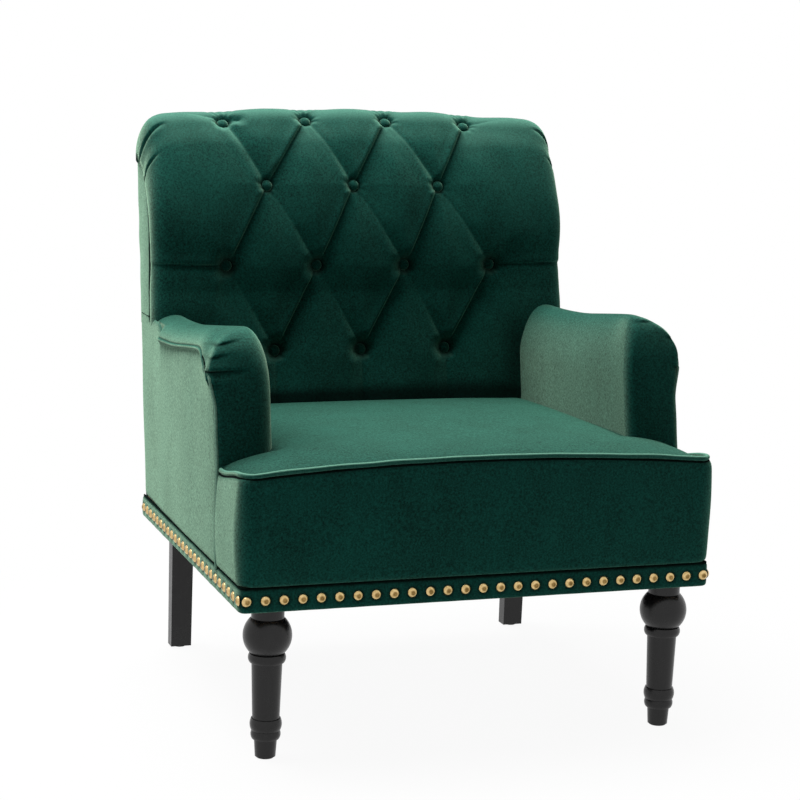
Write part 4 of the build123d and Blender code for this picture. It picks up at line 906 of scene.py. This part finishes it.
def arm_nose(z):
    """How far the top of the arm's front rounds back."""
    return 15.0 * np.clip((z - 535.0) / 65.0, 0.0, 1.2) ** 2


def arm_flare(x, y, z):
    """How far the arm's front corner spreads outwards below its roll."""
    return 9.0 * smooth(480.0, 545.0, z) * smooth(300.0, 350.0, x) * bell(y, arm_front(z), 60.0)


def arm_contour(crest_x, fall, seam_level):
    """Section of the right arm from the seat over the roll to its seam, as (x, rise above the crest)."""
    inside = joined(ARM_INNER, np.linspace(-226.0, -SHOULDER, 32))
    a = np.linspace(math.pi, math.pi / 2, 44)[1:]
    wide = crest_x - ARM_INNER
    shoulder = joined(crest_x + wide * np.cos(a), -SHOULDER + SHOULDER * np.sin(a))
    a = np.linspace(math.pi / 2, math.asin(1.0 + seam_level / fall), 60)[1:]
    outside = joined(crest_x + (ROLL_OUTER - crest_x) * np.cos(a), -fall + fall * np.sin(a))
    tuck = outside[-1] + np.linspace(0, 1, 6)[1:, None] * np.array([-10.0, -5.0])
    return np.concatenate([inside, shoulder, outside, tuck])


def seam_rise(y):
    """Height of the outside seam above the arm's crest, lower at the front corner."""
    return -35.0 - 37.0 * fading(np.maximum(y - arm_front(540.0), 0.0), 26.0)


def side_taper(y):
    """How far the outside of the chair closes in towards the rear."""
    return 4.0 * smooth(FRONT + 300.0, FRONT + 650.0, y)


def tongue(y, from_seam):
    """How far the roll's rounded rear end closes in, from 0 to 1, and the distance left to that end."""
    left = ROLL_END - y
    narrow = np.sqrt(1.0 + 3.0 * tapering(from_seam, TONGUE_RADIUS) ** 2)
    reach = tapering(left, TONGUE_RADIUS) * narrow
    to_end = left - TONGUE_RADIUS * (1.0 - 1.0 / narrow)
    return 1.0 - np.sqrt(1.0 - np.minimum(reach, 1.0) ** 2), to_end


def arm_grid(inner_ease):
    """Right arm from its puffed front to the inside back, each row's share of the front, and column runs."""
    front = arm_contour(304.0, 82.0, -72.0)
    behind = arm_contour(322.0, 45.0, -35.0)
    step = run_lengths(np.hypot(*np.diff(behind, axis=0).T))
    rows = []
    front_share = []
    crest = float(arm_crest(FRONT + 190.0))
    edge = front + np.array([0.0, crest])
    spine = joined(ARM_SPINE, np.interp(step, [0, step[-1]], [edge[0, 1], edge[-1, 1]]))
    ease = inner_ease - (inner_ease - OUTER_EASE) * smooth(300.0, 348.0, np.maximum.accumulate(front[:, 0]))
    for w in np.concatenate([[1.0, 0.985, 0.96, 0.92], np.linspace(0.88, 0.0, 56)[:-1]]):
        x, z = (edge + w * (spine - edge)).T
        inner = tapering(w * np.linalg.norm(spine - edge, axis=1), ease)
        outer = tapering(ARM_SPINE - x, OUTER_EASE)
        back = ease * (1.0 - np.sqrt(1.0 - inner**2)) + OUTER_EASE * (1.0 - np.sqrt(1.0 - outer**2))
        puff = 4.0 * np.sin(np.pi * np.clip((x - ARM_INNER) / 92.0, 0.0, 1.0))
        rows.append(joined(x, arm_front(z) + arm_nose(z) + np.minimum(back, ease) - puff, z))
        front_share.append(1.0)
    start_y = arm_front(edge[:, 1]) + arm_nose(edge[:, 1]) + ease
    rear_y = outside_back(edge[:, 1]) - BACK_THICK + 12.0
    spans = [np.linspace(0.0, 0.12, 20), np.linspace(0.13, 0.74, 50), np.linspace(0.745, 0.87, 44)]
    for v in np.concatenate([*spans, [0.9, 0.95, 1.0]]):
        y = start_y + v * (rear_y - start_y)
        drooped = bell(y, start_y, 40.0)[:, None]
        x, rise = (drooped * front + (1.0 - drooped) * behind).T
        z = crest + rise + (arm_crest(y) - crest) * smooth(-150.0, -30.0, rise)
        closed, _ = tongue(y, step[-1] - step)
        rows.append(joined(x - closed * np.clip(x - 350.0, 0.0, None), y, z))
        front_share.append(float(np.exp(-v * 14.0)))
    return np.array(rows), np.array(front_share)[:, None], step


def arm_cover(pleat_list, lift, inner_ease, splay):
    """Right arm with its pleats, the two cords along its seam and soft unevenness, and painted shade in its
    pleats and in the grooves beside the cords.
    """
    grid, on_front, step = arm_grid(inner_ease)
    normal = surface_normals(grid)
    x, y, z = np.moveaxis(grid, 2, 0)
    relief = 0.3 * ripple(y + x, z, 190.0, 51)
    pleats = np.zeros_like(x)
    painted_shade = np.zeros_like(x)
    for start, end, depths in pleat_list:
        distance, t, left = segment_distance(x, z, start, end)
        width = 14.0 - 10.5 * smooth(-0.6, 0.6, left)
        shape = tapering(distance, width) ** 1.6
        depth = np.interp(t, ALONG_PLEAT, depths)
        lip = 0.9 * np.clip(left, 0.0, 1.0) * bell(distance, 6.0, 4.0) * t
        pleats += (depth * shape - lip) * on_front
        # Painted shade along each pleat
        painted_shade = np.maximum(painted_shade, bell(distance, 0.0, 1.8) * depth / 5.0 * on_front)
    from_seam = np.broadcast_to(step[-1] - step, x.shape)
    _, to_end = tongue(y, from_seam)
    before_end = smooth(4.0, 22.0, to_end)
    cords = 1.9 * bell(from_seam, 8.5, 2.0) + 1.6 * bell(from_seam, 14.5, 2.0)
    cords -= 0.8 * bell(from_seam, 11.5, 1.0) + 0.9 * bell(from_seam, 18.0, 1.3)
    cords = cords * (1.0 - on_front) * before_end
    grid = grid + normal * (relief + cords)[:, :, None]
    inner = (1.0 - smooth(285.0, 335.0, x)) * bell(y, arm_front(z), 170.0)
    grid[:, :, 0] += arm_flare(x, y, z) + splay * inner
    grid[:, :, 1] += pleats
    grid[:, :, 2] += lift * smooth(450.0, 570.0, z)
    # Painted shade in the grooves beside the cords
    groove = bell(from_seam, 11.5, 1.2) + bell(from_seam, 18.0, 1.2)
    return grid, np.maximum(painted_shade, 0.7 * groove * (1.0 - on_front) * before_end)


def outside_panel():
    """Outside of the right arm, gathered under the roll."""
    share = np.concatenate([[0.0, 0.004, 0.012], np.linspace(0.025, 0.985, 80), [0.993, 1.0]])
    along = np.concatenate([[0.0, 0.004, 0.012], np.linspace(0.02, 0.98, 150), [0.988, 0.996, 1.0]])
    grid_u, grid_v = np.meshgrid(along, share)
    guess = FRONT + T_DEPTH + grid_u * (outside_back(440.0) - FRONT - T_DEPTH)
    seam = arm_crest(guess) + seam_rise(guess) - 2.0
    height = seam + 9.0 + (PANEL_REAR_TOP - seam - 9.0) * smooth(ROLL_END - 40.0, ROLL_END, guess)
    z = BAND_TOP + grid_v * (height - BAND_TOP)
    start = arm_front(z) + 5.0
    y = start + grid_u * (outside_back(z) - 1.0 - start)
    x = HALF_WIDTH + 1.0 + 2.2 * np.sin(np.pi * grid_v) ** 0.6 * np.sin(np.pi * grid_u) ** 0.5
    x -= side_taper(y)
    x -= 6.0 * fading(grid_v, 0.007) + 4.0 * fading(1.0 - grid_v, 0.015)
    x -= 4.5 * fading(grid_u, 0.008) + 4.0 * fading(1.0 - grid_u, 0.01)
    fall = np.maximum(seam - z, 0.0)
    under_roll = 1.0 - smooth(ROLL_END - 25.0, ROLL_END + 25.0, y)
    fine = ripple(y, z * 0.12, 13.0, 61) * fading(fall, 14.0)
    coarse = 0.3 * ripple(y, z * 0.1, 30.0, 62) * fading(fall, 45.0)
    x += 0.8 * (fine + coarse) * under_roll
    x += 0.5 * ripple(y, z, 160.0, 63)
    x += arm_flare(x, y, z)
    return joined(x, y, z)


def panel_trim():
    """Cord down the front edge of the right panel, and dark lines of painted shadow beside it and above the
    panel.
    """
    z = np.linspace(BAND_TOP - 3.0, float(arm_crest(FRONT + 180.0)) - 66.0, 120)
    x = np.full_like(z, HALF_WIDTH + 1.6)
    y = arm_front(z) + 2.4
    x += arm_flare(x, y, z) + 0.4 * ripple(z, z, 90.0, 64)
    thin = 1.0 - smooth(z[-1] - 6.0, z[-1], z)
    cord = upright_cord(joined(x, y, z), 2.2 * thin)
    line = upright_cord(joined(x - 1.0, y + 4.0, z), 1.9 * thin)
    y = np.linspace(FRONT + 172.0, ROLL_END - 4.0, 90)
    z = arm_crest(y) + seam_rise(y) - 4.5
    x = HALF_WIDTH + 2.0 - side_taper(y)
    x += arm_flare(x, y, z) + 0.8 * ripple(y, y, 14.0, 65)
    under_roll = tube(joined(x, y, z), 1.5 + 0.5 * ripple(y, y, 9.0, 66))
    y = outside_back(PANEL_REAR_TOP) + np.linspace(12.0 - BACK_THICK, -16.0, 30)
    rear = tube(joined(BACK_HALF + 0.2, y, PANEL_REAR_TOP + 1.0), 1.1)
    return [cord], [line, under_roll, rear]


# The photographed arms differ: the right one stands a little higher, and its inner edge is tighter
right_panel = outside_panel()
panel_cord, panel_seam_shadows = panel_trim()
grid, painted_shade = arm_cover(RIGHT_PLEATS, lift=ARM_TILT, inner_ease=14.0, splay=8.0)
grid_piece("arm_right", [grid], ["arm_cover_right", "arm_foam_right"], painted_shade=painted_shade)
grid, painted_shade = arm_cover(LEFT_PLEATS, lift=-ARM_TILT, inner_ease=38.0, splay=-2.0)
grid_piece("arm_left", mirrored([grid]), ["arm_cover_left", "arm_foam_left"], flip=True, painted_shade=painted_shade)
side_pieces("panel_cord", panel_cord, material=CORD_PAINTED_LIGHT)
side_pieces("panel_seam_shadows", panel_seam_shadows, material=SEAM_SHADOW)
side_pieces("outside_arm_panel", [right_panel], "outside_arm")


# Side strips and the outside back
def side_strip():
    """Right-hand strip between the front cover and the outside back, and a dark line of painted shadow in the
    seam before it.
    """
    rows = np.linspace(STRIP_LOW, STRIP_HIGH, 100)
    along = np.concatenate([[0.0, 0.01, 0.02, 0.035, 0.055], np.linspace(0.09, 0.92, 18), [0.96, 1.0]])
    curve_y, curve_z = BACK_CURVE[:CREST].T
    front_y = np.interp(rows, curve_z - 40.0 * top_share(curve_z), curve_y) + 32.0
    bow = BACK_HALF - 0.5 + 1.6 * np.sin(np.pi * along) ** 0.6
    bow = bow - 10.0 * fading(along, 0.022) - 2.0 * fading(1.0 - along, 0.03)
    grid = []
    for z, y in zip(rows, front_y):
        x = bow - 2.0 * smooth(STRIP_HIGH - 22.0, STRIP_HIGH, z)
        grid.append(joined(x, y + along * (outside_back(z) - 0.5 - y), z))
    grid = np.array(grid)
    grid[:, :, 0] += 0.4 * ripple(grid[:, :, 1], grid[:, :, 2], 60.0, 71)
    # Painted shadow: a dark cord in the seam's groove
    seam = joined(BACK_HALF - 1.7, front_y - 0.5, rows)[rows < STRIP_HIGH - 25.0]
    return grid, upright_cord(seam, 3.0)


strip, strip_seam_shadow = side_strip()
side_pieces("back_seam_shadow", [strip_seam_shadow], material=SEAM_SHADOW)
side_pieces("side_strip", [strip], "back_strip")


def rear_panel():
    """Outside back, drawn over the frame with a seam round its edge."""
    along = np.concatenate([[0.0, 0.003, 0.008], np.linspace(0.015, 0.985, 120), [0.992, 0.997, 1.0]])
    share = np.concatenate([[0.0, 0.004, 0.01], np.linspace(0.02, 0.985, 110), [0.993, 1.0]])
    grid_u, grid_v = np.meshgrid(along, share)
    x = (2.0 * grid_u - 1.0) * (BACK_HALF - 1.0)
    top = ROLL_HEIGHT - 4.0 - top_drop(x) * 0.85
    z = LEG_HEIGHT + 0.5 + grid_v * (top - LEG_HEIGHT)
    edge_u = np.minimum(grid_u, 1.0 - grid_u)
    y = outside_back(z) + 2.2 * np.sin(np.pi * grid_u) ** 0.5 * np.sin(np.pi * grid_v) ** 0.5
    y -= 6.0 * fading(edge_u, 0.004) + 4.0 * fading(grid_v, 0.005) + 4.0 * fading(1.0 - grid_v, 0.006)
    y += 0.5 * ripple(x, z, 150.0, 81)
    return joined(x, y, z)


grid_piece("outside_back_cover", [rear_panel()], ["outside_back"], flip=True)

# Finishes of the CAD nodes that stay
FINISHES = dict(
    black_wood=BLACK_WOOD, brass=BRASS, glide=GLIDE, frame_wood=FRAME_WOOD, steel=STEEL, dust_cloth=DUST_CLOTH
)
for subpart in frame["record"]["subparts"]:
    finish = FINISHES.get(subpart["material_slot"])
    if finish:
        mesh = frame["nodes"][subpart["node"]].data
        mesh.materials.clear()
        mesh.materials.append(finish)


# White studio, in metres
def seen_directly(tree):
    """1 for rays from the camera, reflected or through glass, and 0 for all other light."""
    rays = tree.nodes.new("ShaderNodeLightPath")
    total = rays.outputs["Is Camera Ray"]
    for kind in ("Is Glossy Ray", "Is Transmission Ray"):
        larger = add_node(tree, "ShaderNodeMath", operation="MAXIMUM")
        tree.links.new(total, larger.inputs[0])
        tree.links.new(rays.outputs[kind], larger.inputs[1])
        total = larger.outputs[0]
    return total


def blend_white(tree, share, lit, white, output):
    """Show a lit shader, and a plain white one in its place by a share."""
    mixer = tree.nodes.new("ShaderNodeMixShader")
    for socket, source in zip(mixer.inputs, (share, lit.outputs[0], white.outputs[0])):
        tree.links.new(source, socket)
    tree.links.new(mixer.outputs["Shader"], tree.nodes[output].inputs["Surface"])


bpy.ops.mesh.primitive_plane_add(size=60.0, location=(0.0, 0.0, -0.0005))
floor = bpy.context.object
floor.name = "floor"
floor_material, tree, shader = node_tree("floor")
set_inputs(shader, {"Base Color": (*grey(0.8), 1.0), "Roughness": 0.9})
distance = add_node(tree, "ShaderNodeVectorMath", operation="LENGTH")
tree.links.new(object_coords(tree), distance.inputs[0])
reach = add_node(tree, "ShaderNodeMapRange", interpolation_type="SMOOTHSTEP")
set_inputs(reach, {"From Min": 0.35, "From Max": 0.95, "To Min": 0.94, "To Max": 1.0})
tree.links.new(distance.outputs["Value"], reach.inputs["Value"])
share = add_node(tree, "ShaderNodeMath", operation="MULTIPLY")
tree.links.new(seen_directly(tree), share.inputs[0])
tree.links.new(reach.outputs["Result"], share.inputs[1])
white = add_node(tree, "ShaderNodeEmission", Color=WHITE, Strength=1.0)
blend_white(tree, share.outputs[0], shader, white, "Material Output")
floor.data.materials.append(floor_material)

world = bpy.data.worlds.new("studio")
bpy.context.scene.world = world
world.use_nodes = True
sky = world.node_tree
background = sky.nodes["Background"]
set_inputs(background, {"Color": WHITE, "Strength": 0.1})
white = add_node(sky, "ShaderNodeBackground", Color=WHITE, Strength=1.0)
blend_white(sky, seen_directly(sky), background, white, "World Output")


def softbox(name, place, target, size, power):
    """Large soft light aimed at a point, in metres."""
    lamp = bpy.data.lights.new(name, "AREA")
    lamp.shape = "RECTANGLE"
    lamp.size, lamp.size_y = size
    lamp.energy = power
    holder = add_object(name, lamp)
    holder.location = place
    holder.rotation_euler = (Vector(target) - Vector(place)).to_track_quat("-Z", "Y").to_euler()


softbox("top", (-0.3, 0.6, 2.9), (0.0, 0.0, 0.5), (2.4, 1.6), 104.0)
softbox("top_left", (-1.4, 0.7, 2.6), (0.0, 0.0, 0.5), (2.0, 1.6), 44.0)

# Camera fitted to the photograph: place in metres, focal length in the photograph's pixels
YAW = math.radians(19.263)
PITCH = math.radians(9.531)
ROLL = math.radians(-1.7)
CAMERA_PLACE = (-1.0901, -2.7323 + FRONT * MM, 1.0028)
FOCAL_LENGTH = 2110.8
PHOTO_WIDTH = 800.0
SENSOR_WIDTH = 36.0
forward = Vector((math.sin(YAW) * math.cos(PITCH), math.cos(YAW) * math.cos(PITCH), -math.sin(PITCH)))
right = Vector((math.cos(YAW), -math.sin(YAW), 0.0))
down = forward.cross(right)
image_right = math.cos(ROLL) * right + math.sin(ROLL) * down
image_down = -math.sin(ROLL) * right + math.cos(ROLL) * down
lens = bpy.data.cameras.new("camera")
lens.sensor_width = SENSOR_WIDTH
lens.lens = SENSOR_WIDTH * FOCAL_LENGTH / PHOTO_WIDTH
camera = add_object("camera", lens)
pose = Matrix((image_right, -image_down, -forward)).transposed().to_4x4()
pose.translation = Vector(CAMERA_PLACE)
camera.matrix_world = pose
bpy.context.scene.camera = camera
bpy.context.scene.view_settings.view_transform = "Standard"
